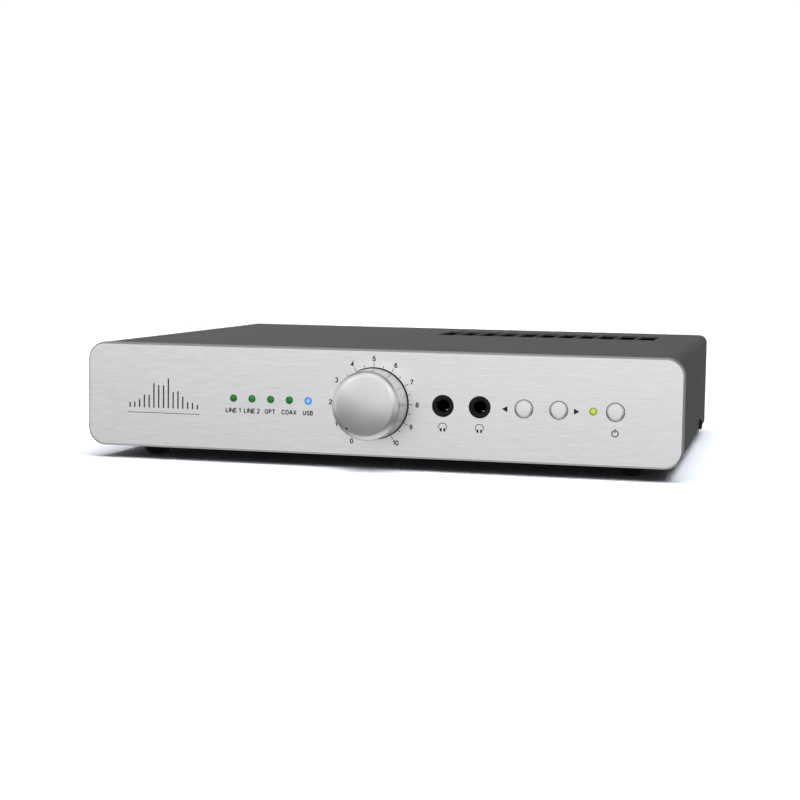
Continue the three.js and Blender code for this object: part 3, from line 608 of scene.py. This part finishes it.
def top_cover():
    """An upside-down channel of bent sheet with a row of slots, and a lip folded down at the rear."""
    low, high = corners("top_cover")
    sheet, bend, arc_steps, soft = 1.2, 5.0, 12, 0.16

    def channel(inset):
        radius, side, roof = bend - inset, high.x - inset, high.z - inset
        points = [(-side, 0)]
        for start, x in ((180, -side + radius), (90, side - radius)):
            for k in range(arc_steps + 1):
                angle = math.radians(start - 90 * k / arc_steps)
                points.append((x + radius * math.cos(angle), roof - radius + radius * math.sin(angle)))
        return [*points, (side, 0)]

    def section(y, edge):
        outer = [(x, y, max(z, low.z + edge)) for x, z in channel(edge)]
        inner = [(x, y, max(z, low.z + edge)) for x, z in channel(sheet - edge)]
        return outer + inner[::-1]

    bm = bmesh.new()
    stations = ((low.y, soft), (low.y + soft, 0), (high.y - soft, 0), (high.y, soft))
    rings = [[bm.verts.new(p) for p in section(y, edge)] for y, edge in stations]
    count = len(rings[0])
    flat = arc_steps + 1
    flats = (flat, count - flat - 2)  # the section's edges across the flat top, outside and inside
    for span, (a, b) in enumerate(zip(rings, rings[1:])):
        for k in range(count):
            if span != 1 or k not in flats:
                bm.faces.new((a[k], a[(k + 1) % count], b[(k + 1) % count], b[k]))
    for ring in (rings[0], rings[-1]):
        for k in range(count // 2 - 1):
            bm.faces.new((ring[k], ring[k + 1], ring[count - 2 - k], ring[count - 1 - k]))
    slots = []
    for k in range(VENTS["count"]):
        x = VENTS["first"] + k * VENTS["pitch"]
        slot = [across_z(vent_outline(x, e), high.z - depth) for e, depth in ((0.2, 0), (0, 0.2), (0, sheet))]
        slots.append(tube(bm, slot))
    a, b = rings[1], rings[2]
    for k, level in zip(flats, (0, -1)):
        fill(bm, [[a[k], a[k + 1], b[k + 1], b[k]], *(slot[level] for slot in slots)])
    lip_half, lip_low, lip_high, rear = 151, 53, high.z - sheet - 0.02, high.y
    lip = [
        across_y(rounded_outline(e - lip_half, lip_half - e, lip_low + e, lip_high, 1), y)
        for e, y in ((soft, rear - sheet), (0, rear - sheet + soft), (0, rear - soft), (soft, rear))
    ]
    lip_screws = [middle(f"rear_cover_screw_{side}") for side in SIDES]
    plate(bm, lip, [hole(at.x, at.z, SCREW_HOLE, rear - sheet, rear) for at in lip_screws])
    make("cover_shell", bm, "cover", "top_cover")


PHONO_LEVELS = (28, 46)
PHONO = {f"{use}_sockets": PHONO_LEVELS for use in ("line_1", "line_2", "output")}
PHONO["coaxial_socket"] = PHONO_LEVELS[:1]


def rear_panel():
    low, high = corners("rear_panel")
    soft = 0.15
    outer = []
    for e, y in ((soft, high.y), (0, high.y - soft), (0, low.y + soft), (soft, low.y)):
        outer.append(across_y(rounded_outline(low.x + e, high.x - e, low.z + e, high.z - e, 3.6 - e), y))

    def slot(node, inset=0):
        a, b = corners(node)
        margin = 0.25
        shape = [a.x - margin + inset, b.x + margin - inset, a.z - margin + inset, b.z + margin - inset]
        return [across_y(rounded_outline(*shape, 0.4, 4), y) for y in (high.y, low.y)]

    screws = [middle(f"{kind}_screw_{side}") for kind in ("rear_panel", "rear_cover") for side in SIDES]
    holes = [hole(at.x, at.z, SCREW_HOLE, high.y, low.y, 0) for at in screws]
    for node, levels in PHONO.items():
        holes += [hole(middle(node).x, z, PHONO_HOLE, high.y, low.y, 0) for z in levels]
    holes += [slot("optical_socket"), slot("usb_socket"), slot("mains_inlet", 1)]
    bm = bmesh.new()
    plate(bm, outer, holes)
    make("rear_plate", bm, "rear", "rear_panel")


def pan_head(axis, origin, sign, radius, length):
    """A pan-head screw with a cross recess. It points along sign on its axis; origin is under its head."""
    height = radius * 0.6
    profile = [(0, -length), (1.1, -length), (1.4, -length + 0.4), (1.4, 0), (radius, 0, 0.1),
               (radius, height * 0.45, 0.5), (radius * 0.72, height * 0.93, 1.2), (0, height)]
    head = turned([(p[0], p[1] * sign, *p[2:]) for p in profile], origin, axis, 48, 6)
    arm, wide = radius * 0.56, radius * 0.12
    cross = []
    for turn in (0, 90):
        c, s = math.cos(math.radians(turn)), math.sin(math.radians(turn))
        rings = []
        for grown, depth in ((1, height + 0.5), (1, height), (0.45, height * 0.45)):
            bar = [(arm * grown, wide), (-arm * grown, wide), (-arm * grown, -wide), (arm * grown, -wide)]
            spots = [(c * u - s * v, s * u + c * v) for u, v in bar]
            rings.append([place(u, v, depth * sign, origin, axis) for u, v in spots])
        cross.append(capped(rings))
    return carved(head, *cross)


def screws():
    """The casing's black screws. Each head stands a little off its face, so that they share no plane."""
    off = 0.02
    for side, sign in zip(SIDES, (-1, 1)):
        node = f"cover_screw_{side}"
        at = middle(node)
        edge = sign * (corners("top_cover")[1].x + off)
        head = pan_head("X", (edge, at.y, at.z), sign, 3.2, 7)
        make(f"{node}_head", head, "black_screw", node)
        for kind, sheet in (("rear_cover", "top_cover"), ("rear_panel", "rear_panel")):
            node = f"{kind}_screw_{side}"
            at = middle(node)
            head = pan_head("Y", (at.x, corners(sheet)[1].y + off, at.z), 1, 3, 6)
            make(f"{node}_head", head, "black_screw", node)


def feet():
    for where in CORNERS:
        node = f"foot_{where}"
        at = middle(node)
        top = corners(node)[1].z
        profile = [(1.9, top), (8.7, top, 0.3), (8.5, top - 1.6, 2), (5.6, 0.5, 1.4), (4.9, 0, 0.3),
                   (3.4, 0, 0.2), (3.4, 4, 0.2), (1.9, 4, 0.1), (1.9, top)]
        foot = turned(profile, (at.x, at.y, 0), "Z", 72, 6)
        make(f"rubber_foot_{where}", foot, "rubber", node)


# ---------------------------------------------------------------- controls on the front
def knob():
    low, high = corners("volume_knob")
    front, back = low.y, high.y
    dome = [(r, front + r * r / 160) for r in (0, 2.5, 5, 7.5, 10, 12.5)]
    profile = [
        *dome, (15.2, front + 1.45, 4), (17.95, front + 3.2, 3.4), (18.05, front + 8),
        (18.3, back - 2.2, 0.4), (18.3, back, 0.25), (9, back, 0.3), (9, front + 16), (3.3, front + 16, 0.2),
        (3.3, front + 6), (0, front + 6),
    ]
    shell = turned(profile, centre_line("volume_knob"), "Y", 192, 14)
    dot = knob_mark_place()
    drill = turned(from_y(front, [(0, -1), (0.62, -1), (0.62, 2.15), (0, 2.35)]), dot, "Y", 24)
    make("knob_shell", carved(shell, drill), "knob", "volume_knob", "volume", 35)
    paint = [(0, 1.7), (0.45, 1.75), (0.6, 1.8), (0.6, 2.1), (0, 2.1)]
    make("knob_mark", turned(from_y(front, paint), dot, "Y", 24), "print", body="volume")


def knob_mark_place():
    """The mark is a drilled dot near the rim, turned anticlockwise from the top as seen from the front."""
    radius, angle = 14.9, math.radians(141.9)
    at = middle("volume_knob")
    return at.x - radius * math.sin(angle), 0, at.z + radius * math.cos(angle)


def push_buttons():
    rim = 4.55
    for use in BUTTONS:
        node = f"{use}_button"
        low, high = corners(node)
        profile = [(0, low.y + 0.02), (3.6, low.y, 0.1), (4.3, low.y + 0.5, 0.2), (rim, low.y + 0.8, 0.1),
                   (rim, high.y - 4), (5.8, high.y - 4, 0.1), (5.8, high.y - 3, 0.1), (1.6, high.y - 3),
                   (1.6, high.y, 0.2), (0, high.y)]
        make(f"{use}_cap", turned(profile, centre_line(node)), "button", node, use)


def lamps():
    radius = 1.83
    turns = [math.radians(a) for a in range(0, 91, 9)]
    dome = [(radius * math.sin(a), FACE + 0.5 - 1.05 * math.cos(a)) for a in turns]
    for node in LED_NODES:
        use = node.removesuffix("_indicator")
        kind = {"usb": "blue", "power": "yellow"}.get(use, "green")
        back = corners(node)[1].y
        profile = [*dome, (radius, back - 1.5), (2.4, back - 1.5, 0.2), (2.4, back, 0.1), (0, back)]
        make(f"{use}_lamp", turned(profile, centre_line(node), "Y", 48), kind, node)


def jacks():
    rim = [(3.4, 0.15, 0.1), (3.75, -0.18, 0.2), (5.3, -0.2, 0.18), (5.5, 0.1), (5.5, 5), (4.8, 5),
           (4.8, 0.5), (3.4, 0.5), (3.4, 0.15)]
    nose, body, contact_at = FACE + 0.8, FACE + 14.9, FACE + 9.5
    for side in SIDES:
        bezel, node = f"headphone_bezel_{side}", f"headphone_jack_{side}"
        at, centre = middle(bezel), centre_line(bezel)
        make(f"jack_ring_{side}", turned(from_y(FACE, rim), centre), "bezel", bezel)
        low, high = corners(node)
        bore = high.y - 3.3
        profile = [(3.175, nose + 0.25), (3.4, nose, 0.1), (4.5, nose, 0.2), (4.5, body + 0.5), (4.5, bore),
                   (0, bore), (0, bore - 1), (3.175, bore - 1), (3.175, nose + 0.25)]
        barrel = turned(profile, centre)
        block = rounded_block((low.x, body, low.z), (high.x, high.y, high.z), 0.5)
        drill = turned([(0, body - 1), (4.4, body - 1), (4.4, bore + 0.5), (0, bore + 0.5)], centre, "Y", 48)
        make(f"jack_body_{side}", carved(block, drill), "black", node)
        make(f"jack_barrel_{side}", barrel, "bezel")
        ends = (at.x - 0.9, contact_at, at.z - 3.16), (at.x + 0.9, contact_at + 5, at.z - 2.5)
        make(f"jack_contact_{side}", rounded_block(*ends, 0.25), "nickel")


# ---------------------------------------------------------------- sockets at the rear
def phono_sockets():
    panel_front, collar = (corner.y for corner in corners("rear_panel"))
    for node, levels in PHONO.items():
        low, high = corners(node)
        tip = high.y
        name = node.removesuffix("_sockets").removesuffix("_socket")
        block = rounded_block(low, (high.x, panel_front - 0.3, high.z), 0.4)
        make(f"{name}_block", block, "black", node)
        shell = [(3.45, tip - 0.3), (3.7, tip, 0.12), (4.15, tip, 0.2), (4.15, collar + 0.6),
                 (4.6, collar + 0.6, 0.1), (4.6, collar - 2), (3.45, collar - 2), (3.45, tip - 0.3)]
        ring = [(1.6, tip - 1.0), (1.7, tip - 0.9), (3.43, tip - 0.9, 0.1), (3.43, collar - 1.9),
                (1.6, collar - 1.9), (1.6, tip - 1.0)]
        base = [(4.62, collar + 0.05), (4.62, collar + 0.55, 0.1), (5.0, collar + 0.5, 0.15),
                (5.2, collar + 0.05), (4.62, collar + 0.05)]
        colours = ("red_ring", "white_ring")[-len(levels):]
        shells, insulators = bmesh.new(), [bmesh.new() for _ in levels]
        for level, insulator in zip(levels, insulators):
            origin = (middle(node).x, 0, level)
            add_turned(shells, shell, origin, "Y", 64)
            add_turned(insulator, ring, origin, "Y", 48)
            add_turned(insulator, base, origin, "Y", 64)
        make(f"{name}_shells", shells, "gold")
        for colour, insulator in zip(colours, insulators):
            make(f"{name}_{colour}", insulator, colour)


def boxed_socket(node, name, finish, mouth, depth, radius):
    """A rectangular socket body with a hollow mouth given as half width, low and high Z."""
    low, high = corners(node)
    half, bottom, top = mouth
    x, y = middle(node).x, high.y
    rings = []
    for e, face in ((0.6, y + 0.3), (0.3, y), (0, y - 0.3), (0, y - depth)):
        outline = rounded_outline(x - half - e, x + half + e, bottom - e, top + e, 0.5 + e, 4)
        rings.append(across_y(outline, face))
    make(name, carved(rounded_block(low, high, radius), capped(rings)), finish, node, sharp=30)


def digital_sockets():
    low, high = corners("optical_socket")
    level, mouth = (low.z + high.z) / 2, 4.1
    boxed_socket("optical_socket", "optical_housing", "black", (mouth, level - mouth, level + mouth), 12, 0.4)
    low, high = corners("usb_socket")
    level, at, back = (low.z + high.z) / 2, middle("usb_socket").x, high.y
    boxed_socket("usb_socket", "usb_shell", "nickel", (4.3, level - 4, level + 4), 14.5, 0.5)
    tongue = rounded_block((at - 2.9, back - 15.5, level - 1.6), (at + 2.9, back - 1.6, level + 1.6), 0.3)
    make("usb_tongue", tongue, "white_ring")
    contacts = bmesh.new()
    for x in (-1.3, 1.3):
        for side in (-1, 1):
            z = level + side * 1.6
            ends = (at + x - 0.5, back - 13, z - 0.08), (at + x + 0.5, back - 2.4, z + 0.08)
            add_rounded_block(contacts, *ends, 0.05, 2)
    make("usb_contacts", contacts, "gold")
    low, high = corners("optical_shutter")
    y, hinge = middle("optical_shutter").y, high.z - 0.45
    flap = rounded_block((low.x, y - 0.35, low.z), (high.x, y + 0.35, hinge), 0.12)
    pin = [(0, low.x), (0.44, low.x, 0.1), (0.44, high.x, 0.1), (0, high.x)]
    add_turned(flap, pin, (0, y, hinge), "X", 32, 3)
    make("optical_flap", flap, "bezel", "optical_shutter", "shutter")


def mains_inlet():
    low, high = corners("mains_inlet")
    at, bottom, back = middle("mains_inlet").x, low.z, high.y
    front = corners("rear_panel")[1].y + 0.3
    soft, sunk, gap = 0.35, 17.6, 0.25

    def frame_ring(inset, y):
        return across_y(rounded_outline(low.x + inset, high.x - inset, low.z + inset, high.z - inset, 2.2), y)

    def mouth(grown, y):
        w, b, t, step, shoulder = 12 + grown, 3 - grown, 19 + grown, 14 + grown * 0.4, 7 + grown * 0.4
        outline = ((-w, b), (w, b), (w, step), (shoulder, t), (-shoulder, t), (-w, step))
        return across_y([(at + x, bottom + z) for x, z in outline], y)

    def pocket():
        """The room for the fuse drawer."""
        a, b = corners("fuse_drawer")
        return rounded_block((a.x - gap, a.y - gap, a.z - gap), (b.x + gap, back + 5, b.z + gap), 0.3)

    depths = ((0, front), (0, back - soft), (soft * 0.3, back - soft * 0.3), (soft, back))
    flange = capped([frame_ring(inset, y) for inset, y in depths])
    depths = ((0.8, back + 0.4), (0.4, back), (0, back - 0.4), (0, back - sunk))
    well = capped([mouth(grown, y) for grown, y in depths])
    make("inlet_flange", carved(flange, well, pocket()), "black", "mains_inlet", sharp=30)
    body = rounded_block((low.x + 1, low.y, low.z + 1), (high.x - 1, front + 0.2, high.z - 1), 0.5)
    well = capped([mouth(0, front + 1), mouth(0, back - sunk)])
    make("inlet_body", carved(body, well, pocket()), "black", sharp=30)
    pins = bmesh.new()
    for x, z in ((-7, 8), (7, 8), (0, 12)):
        ends = (at + x - 1, back - sunk - 1, bottom + z - 2), (at + x + 1, back - 7.3, bottom + z + 2)
        add_rounded_block(pins, *ends, 0.6)
    make("inlet_pins", pins, "nickel")


def fuse_drawer():
    low, high = corners("fuse_drawer")
    at = middle("fuse_drawer").x
    bm = rounded_block(low, high, 0.35)
    cuts = []
    for x, half in ((0, 3.2), (-8.2, 2.4), (8.2, 2.4)):
        ends = (at + x - half, low.y + 1.2, low.z + 1), (at + x + half, high.y - 2, high.z + 2)
        cuts.append(rounded_block(*ends, 0.3))
    cuts.append(rounded_block((at - 3, high.y - 1.2, low.z - 2), (at + 3, high.y + 1, low.z + 1.2), 0.3))
    make("drawer_body", carved(bm, *cuts), "black", "fuse_drawer", "fuse_tray", 30)
    low, high = corners("mains_fuse")
    centre, sunk = centre_line("mains_fuse"), 3.8
    glass = [(0, low.y + sunk), (2.3, low.y + sunk, 0.1), (2.3, high.y - sunk, 0.1), (0, high.y - sunk)]
    make("fuse_tube", turned(glass, centre, "Y", 48), "glass", "mains_fuse", "fuse_tray")
    caps = bmesh.new()
    for a, b in ((low.y, low.y + 4.5), (high.y - 4.5, high.y)):
        add_turned(caps, [(0, a), (2.6, a, 0.5), (2.6, b, 0.5), (0, b)], centre, "Y", 48)
    make("fuse_caps", caps, "nickel", body="fuse_tray")


# ---------------------------------------------------------------- prints on the front panel
PRINT_DEPTH = 0.03  # how far a print stands in front of its face, and into it
LABELS = {"LINE 1": -77.0, "LINE 2": -66.6, "OPT": -56.5, "COAX": -46.0, "USB": -35.6}
LABEL_Z, LABEL_HEIGHT, LABEL_WEIGHT = 28.6, 2.6, 0.5
REAR_LABEL_HEIGHT, REAR_LABEL_WEIGHT = 2.2, 0.3
DIAL = {"inner": 19.1, "major": 21.3, "minor": 20.4, "digits": 23.3, "digit_height": 2.75, "unit": 30}
HEADPHONE_ICON_Z, POWER_ICON_Z = 24.1, 24.2
ARROWS = ((69.2, -1), (106.2, 1))  # X of each arrow's middle, and the side it points to


def front_prints():
    y0, y1 = FACE - PRINT_DEPTH, FACE + PRINT_DEPTH
    bm = bmesh.new()
    for text, x in LABELS.items():
        lettering(bm, text, x, LABEL_Z, LABEL_HEIGHT, LABEL_WEIGHT, y0, y1)
    for unit in range(11):
        angle = math.radians((unit - 5) * DIAL["unit"])
        wider = 0.8 if unit == 10 else 0  # room for the second digit
        x, z = (DIAL["digits"] + wider) * math.sin(angle), DIAL["digits"] * math.cos(angle)
        lettering(bm, str(unit), x, CONTROL_Z + z, DIAL["digit_height"], 0.54, y0, y1)
    for half in range(21):
        angle = math.radians((half / 2 - 5) * DIAL["unit"])
        end = DIAL["minor"] if half % 2 else DIAL["major"]
        ends = [(r * math.sin(angle), CONTROL_Z + r * math.cos(angle)) for r in (DIAL["inner"], end)]
        stroke(bm, ends, 0.3, y0, y1)
    for x in JACK_X:
        headphone_icon(bm, x + 0.05, HEADPHONE_ICON_Z, y0, y1)
    power_icon(bm, BUTTON_X[-1], POWER_ICON_Z, y0, y1)
    for x, way in ARROWS:
        spots = ((x - way * 1.45, -1.95), (x + way * 1.45, -0.4), (x - way * 1.45, 1.15))
        prism(bm, [(u, CONTROL_Z + v) for u, v in spots], y0, y1)
    level_mark(bm, y0, y1)
    make("panel_print", bm, "print")


def headphone_icon(bm, x, z, y0, y1):
    """A headband over two ear cups."""
    stroke(bm, arc_points(x, z, 2.1, -122, 122), 0.36, y0, y1)
    for side in (-1, 1):
        cup = x + side * 0.95
        prism(bm, rounded_outline(cup - 0.5, cup + 0.5, z - 2.3, z - 0.6, 0.25, 4), y0, y1)


def power_icon(bm, x, z, y0, y1):
    """An open ring with a bar in its gap."""
    stroke(bm, arc_points(x, z, 1.6, 22, 338), 0.52, y0, y1)
    stroke(bm, [(x, z + 0.5), (x, z + 2.2)], 0.7, y0, y1)


def level_mark(bm, y0, y1):
    """A generic mark: upright level bars that swell towards the middle, over one thin rule."""
    centre, base, bars, pitch, half_bar, half_rule = -116.5, 28.2, 15, 2.75, 0.36, 20.5
    for k in range(bars):
        t = (k - (bars - 1) / 2) / ((bars - 1) / 2)
        height = 2.2 + 15 * math.exp(-3.2 * t * t) * (0.78 + 0.22 * math.cos(k * 2.4))
        x = centre + (k - (bars - 1) / 2) * pitch
        prism(bm, rounded_outline(x - half_bar, x + half_bar, base, base + height, 0.34, 4), y0, y1)
    stroke(bm, [(centre - half_rule, base - 2.6), (centre + half_rule, base - 2.6)], 0.3, y0, y1)


def rear_prints():
    face = corners("rear_panel")[1].y
    y0, y1 = face - PRINT_DEPTH, face + PRINT_DEPTH
    bm = bmesh.new()
    rows = {36.9: {"LINE 1": "line_1_sockets", "LINE 2": "line_2_sockets", "OUT": "output_sockets"},
            36: {"COAX": "coaxial_socket", "OPT": "optical_socket", "USB": "usb_socket"}}
    for z, labels in rows.items():
        for text, node in labels.items():
            lettering(bm, text, middle(node).x, z, REAR_LABEL_HEIGHT, REAR_LABEL_WEIGHT, y0, y1, -1)
    channel_x = 98
    for text, level in zip(("R", "L"), PHONO_LEVELS):
        lettering(bm, text, channel_x, level, 2.4, 0.32, y0, y1, -1)
    make("rear_print", bm, "white_print")


# ---------------------------------------------------------------- works inside the case
def works():
    winding()
    for side in SIDES:
        node = f"filter_capacitor_{side}"
        low, high = corners(node)
        at = middle(node)
        r = (high.x - low.x) / 2
        profile = [(0, low.z), (r - 0.5, low.z), (r, low.z + 1.2, 0.5), (r - 0.5, low.z + 2.8, 0.7),
                   (r, low.z + 4.2, 0.7), (r, high.z - 0.4, 0.4), (r - 1.2, high.z - 0.2, 0.2),
                   (r - 1.5, high.z - 0.8, 0.2), (0, high.z - 0.8)]
        can = turned(profile, (at.x, at.y, 0), "Z", 72)
        make(f"capacitor_{side}", can, "sleeve", node)


def winding():
    """The transformer's ring. Its skin swells a little over every turn of tape."""
    at = middle("toroidal_transformer")
    low, high = corners("toroidal_transformer")
    inset, bore, soft, laps = 0.3, 12.3, 7, 88
    radius, bottom, top = (high.x - low.x) / 2 - inset, low.z + inset, high.z - inset
    seam = (radius, low.z + 12)
    section = ((radius, top), (bore, top), (bore, bottom), (radius, bottom))
    profile = fillet([seam, *((*corner, soft) for corner in section), seam], 6)
    bm = bmesh.new()
    rings = []
    for k in range(laps * 4):
        angle = 2 * math.pi * k / (laps * 4)
        swell = 0.25 * math.sin(angle * laps)
        ring = []
        for p in profile[:-1]:
            out = p.x + swell * (1 if p.x > (radius + bore) / 2 else -0.4)
            ring.append(bm.verts.new((at.x + out * math.cos(angle), at.y + out * math.sin(angle), p.y)))
        rings.append(ring)
    for a, b in zip(rings, rings[1:] + rings[:1]):
        bridge(bm, a, b)
    make("transformer_winding", bm, "winding", "toroidal_transformer", sharp=60)


CARRIED = {
    "black": ["volume_potentiometer", *(f"{use}_switch" for use in BUTTONS)],
    "board": ["front_board", "main_board"],
    "heatsink": ["heatsink"],
    "lead": ["primary_lead", "secondary_lead"],
    "ribbon": ["ribbon_cable"],
    "rubber": ["transformer_pad"],
    "tray": ["chassis_tray"],
    "zinc": ["volume_shaft", "potentiometer_nut", "transformer_clamp", "transformer_bolt",
             *(f"foot_screw_{where}" for where in CORNERS)],
}


def carried_nodes():
    """The CAD nodes that are shown as they are get a finish."""
    for finish, nodes in CARRIED.items():
        for node in nodes:
            data = frame["nodes"][node].data
            data.materials.clear()
            data.materials.append(MATERIALS[finish])


# ---------------------------------------------------------------- stage
def stage():
    bm = bmesh.new()
    bmesh.ops.create_circle(bm, cap_ends=True, radius=1.6, segments=128)
    floor = placed("floor", bm)
    paper = Material("white paper", {"Roughness": 0.7})
    grain = paper.spread(paper.noise(300), 0, 1)
    paper.drive("Base Color", mixed(paper.tree, grain, (0.84, 0.88, 0.95, 1), (0.86, 0.9, 0.97, 1)))
    floor.data.materials.append(paper.material)
    floor.visible_glossy = False


def world():
    """White to look at. Rough surfaces are lit by one set of lamps, and shiny ones reflect another."""
    surround = bpy.data.worlds.new("studio")
    surround.use_nodes = True
    surround.cycles.sampling_method = "NONE"  # each kind of ray meets only its own lamps
    bpy.context.scene.world = surround
    tree = surround.node_tree
    direction = add_node(tree, "TexCoord").outputs["Generated"]

    def glow(aim, inner, outer, strength):
        """Light from around a direction: full within inner degrees of it, none beyond outer."""
        dot = add_node(tree, "VectorMath", {0: direction, 1: Vector(aim).normalized()})
        dot.operation = "DOT_PRODUCT"
        ends = {"From Min": math.cos(math.radians(outer)), "From Max": math.cos(math.radians(inner))}
        ends |= {"To Min": 0, "To Max": strength}
        ramp = add_node(tree, "MapRange", {"Value": dot.outputs["Value"], **ends})
        ramp.interpolation_type = "SMOOTHSTEP"
        return ramp.outputs["Result"]

    def together(base, lamps):
        total = base
        for lamp in lamps:
            total = add_node(tree, "Math", {0: total, 1: glow(*lamp)}).outputs["Value"]
        return total

    path = add_node(tree, "LightPath")
    level = together(*LIT)
    for ray, value in (("Is Glossy Ray", together(*REFLECTED)), ("Is Camera Ray", WHITE)):
        mix = add_node(tree, "Mix", {"Factor": path.outputs[ray], "A": level, "B": value})
        level = mix.outputs["Result"]
    background = tree.nodes["Background"]
    feed(tree, background.inputs["Strength"], level)
    feed(tree, background.inputs["Color"], (1, 1, 1, 1))


# An even level, then lamps: the way towards each, the angles in degrees where it is full and where it
# ends, and its strength.
WHITE = 1.05
LIT = (0.04, (
    ((0.12, -0.42, 1), 6, 40, 7.4),
    ((-1, -0.3, 0.4), 10, 40, 0.6),
    ((1, -0.2, 0.6), 10, 50, 0.12),
))
REFLECTED = (0.24, (
    ((0.02, -1, 0.64), 32, 54, 0.89),
    ((-0.95, -0.4, 0.35), 20, 44, 0.7),
    ((1, -0.5, 0.3), 18, 45, 0.55),
    ((0, 0, 1), 12, 45, 0.45),
    ((0, 0, -1), 15, 55, 0.75),
    ((-0.6, 1, 0.12), 5, 28, 0.3),
))

CAMERA = {"place": (0.2181, -0.9645, 0.1137), "azimuth": 13.64, "elevation": 5.05, "roll": 0.87,
          "lens": 75.375}


def camera():
    data = bpy.data.cameras.new("camera")
    data.lens = CAMERA["lens"]
    data.sensor_width = 36
    data.clip_start = 0.01
    eye = bpy.data.objects.new("camera", data)
    bpy.context.scene.collection.objects.link(eye)
    azimuth, elevation, roll = (math.radians(CAMERA[key]) for key in ("azimuth", "elevation", "roll"))
    level = math.cos(elevation)
    back = Vector((math.sin(azimuth) * level, -math.cos(azimuth) * level, math.sin(elevation)))
    right = Vector((0, 0, 1)).cross(back).normalized()
    up = back.cross(right)
    x = math.cos(roll) * right + math.sin(roll) * up
    y = -math.sin(roll) * right + math.cos(roll) * up
    eye.matrix_world = Matrix.Translation(CAMERA["place"]) @ Matrix((x, y, back)).transposed().to_4x4()
    bpy.context.scene.camera = eye


for build in (
    front_panel, top_cover, rear_panel, screws, feet, knob, push_buttons, lamps, jacks, phono_sockets,
    digital_sockets, mains_inlet, fuse_drawer, front_prints, rear_prints, works, carried_nodes,
    stage, world, camera,
):
    build()
bpy.context.scene.view_settings.view_transform = "Standard"
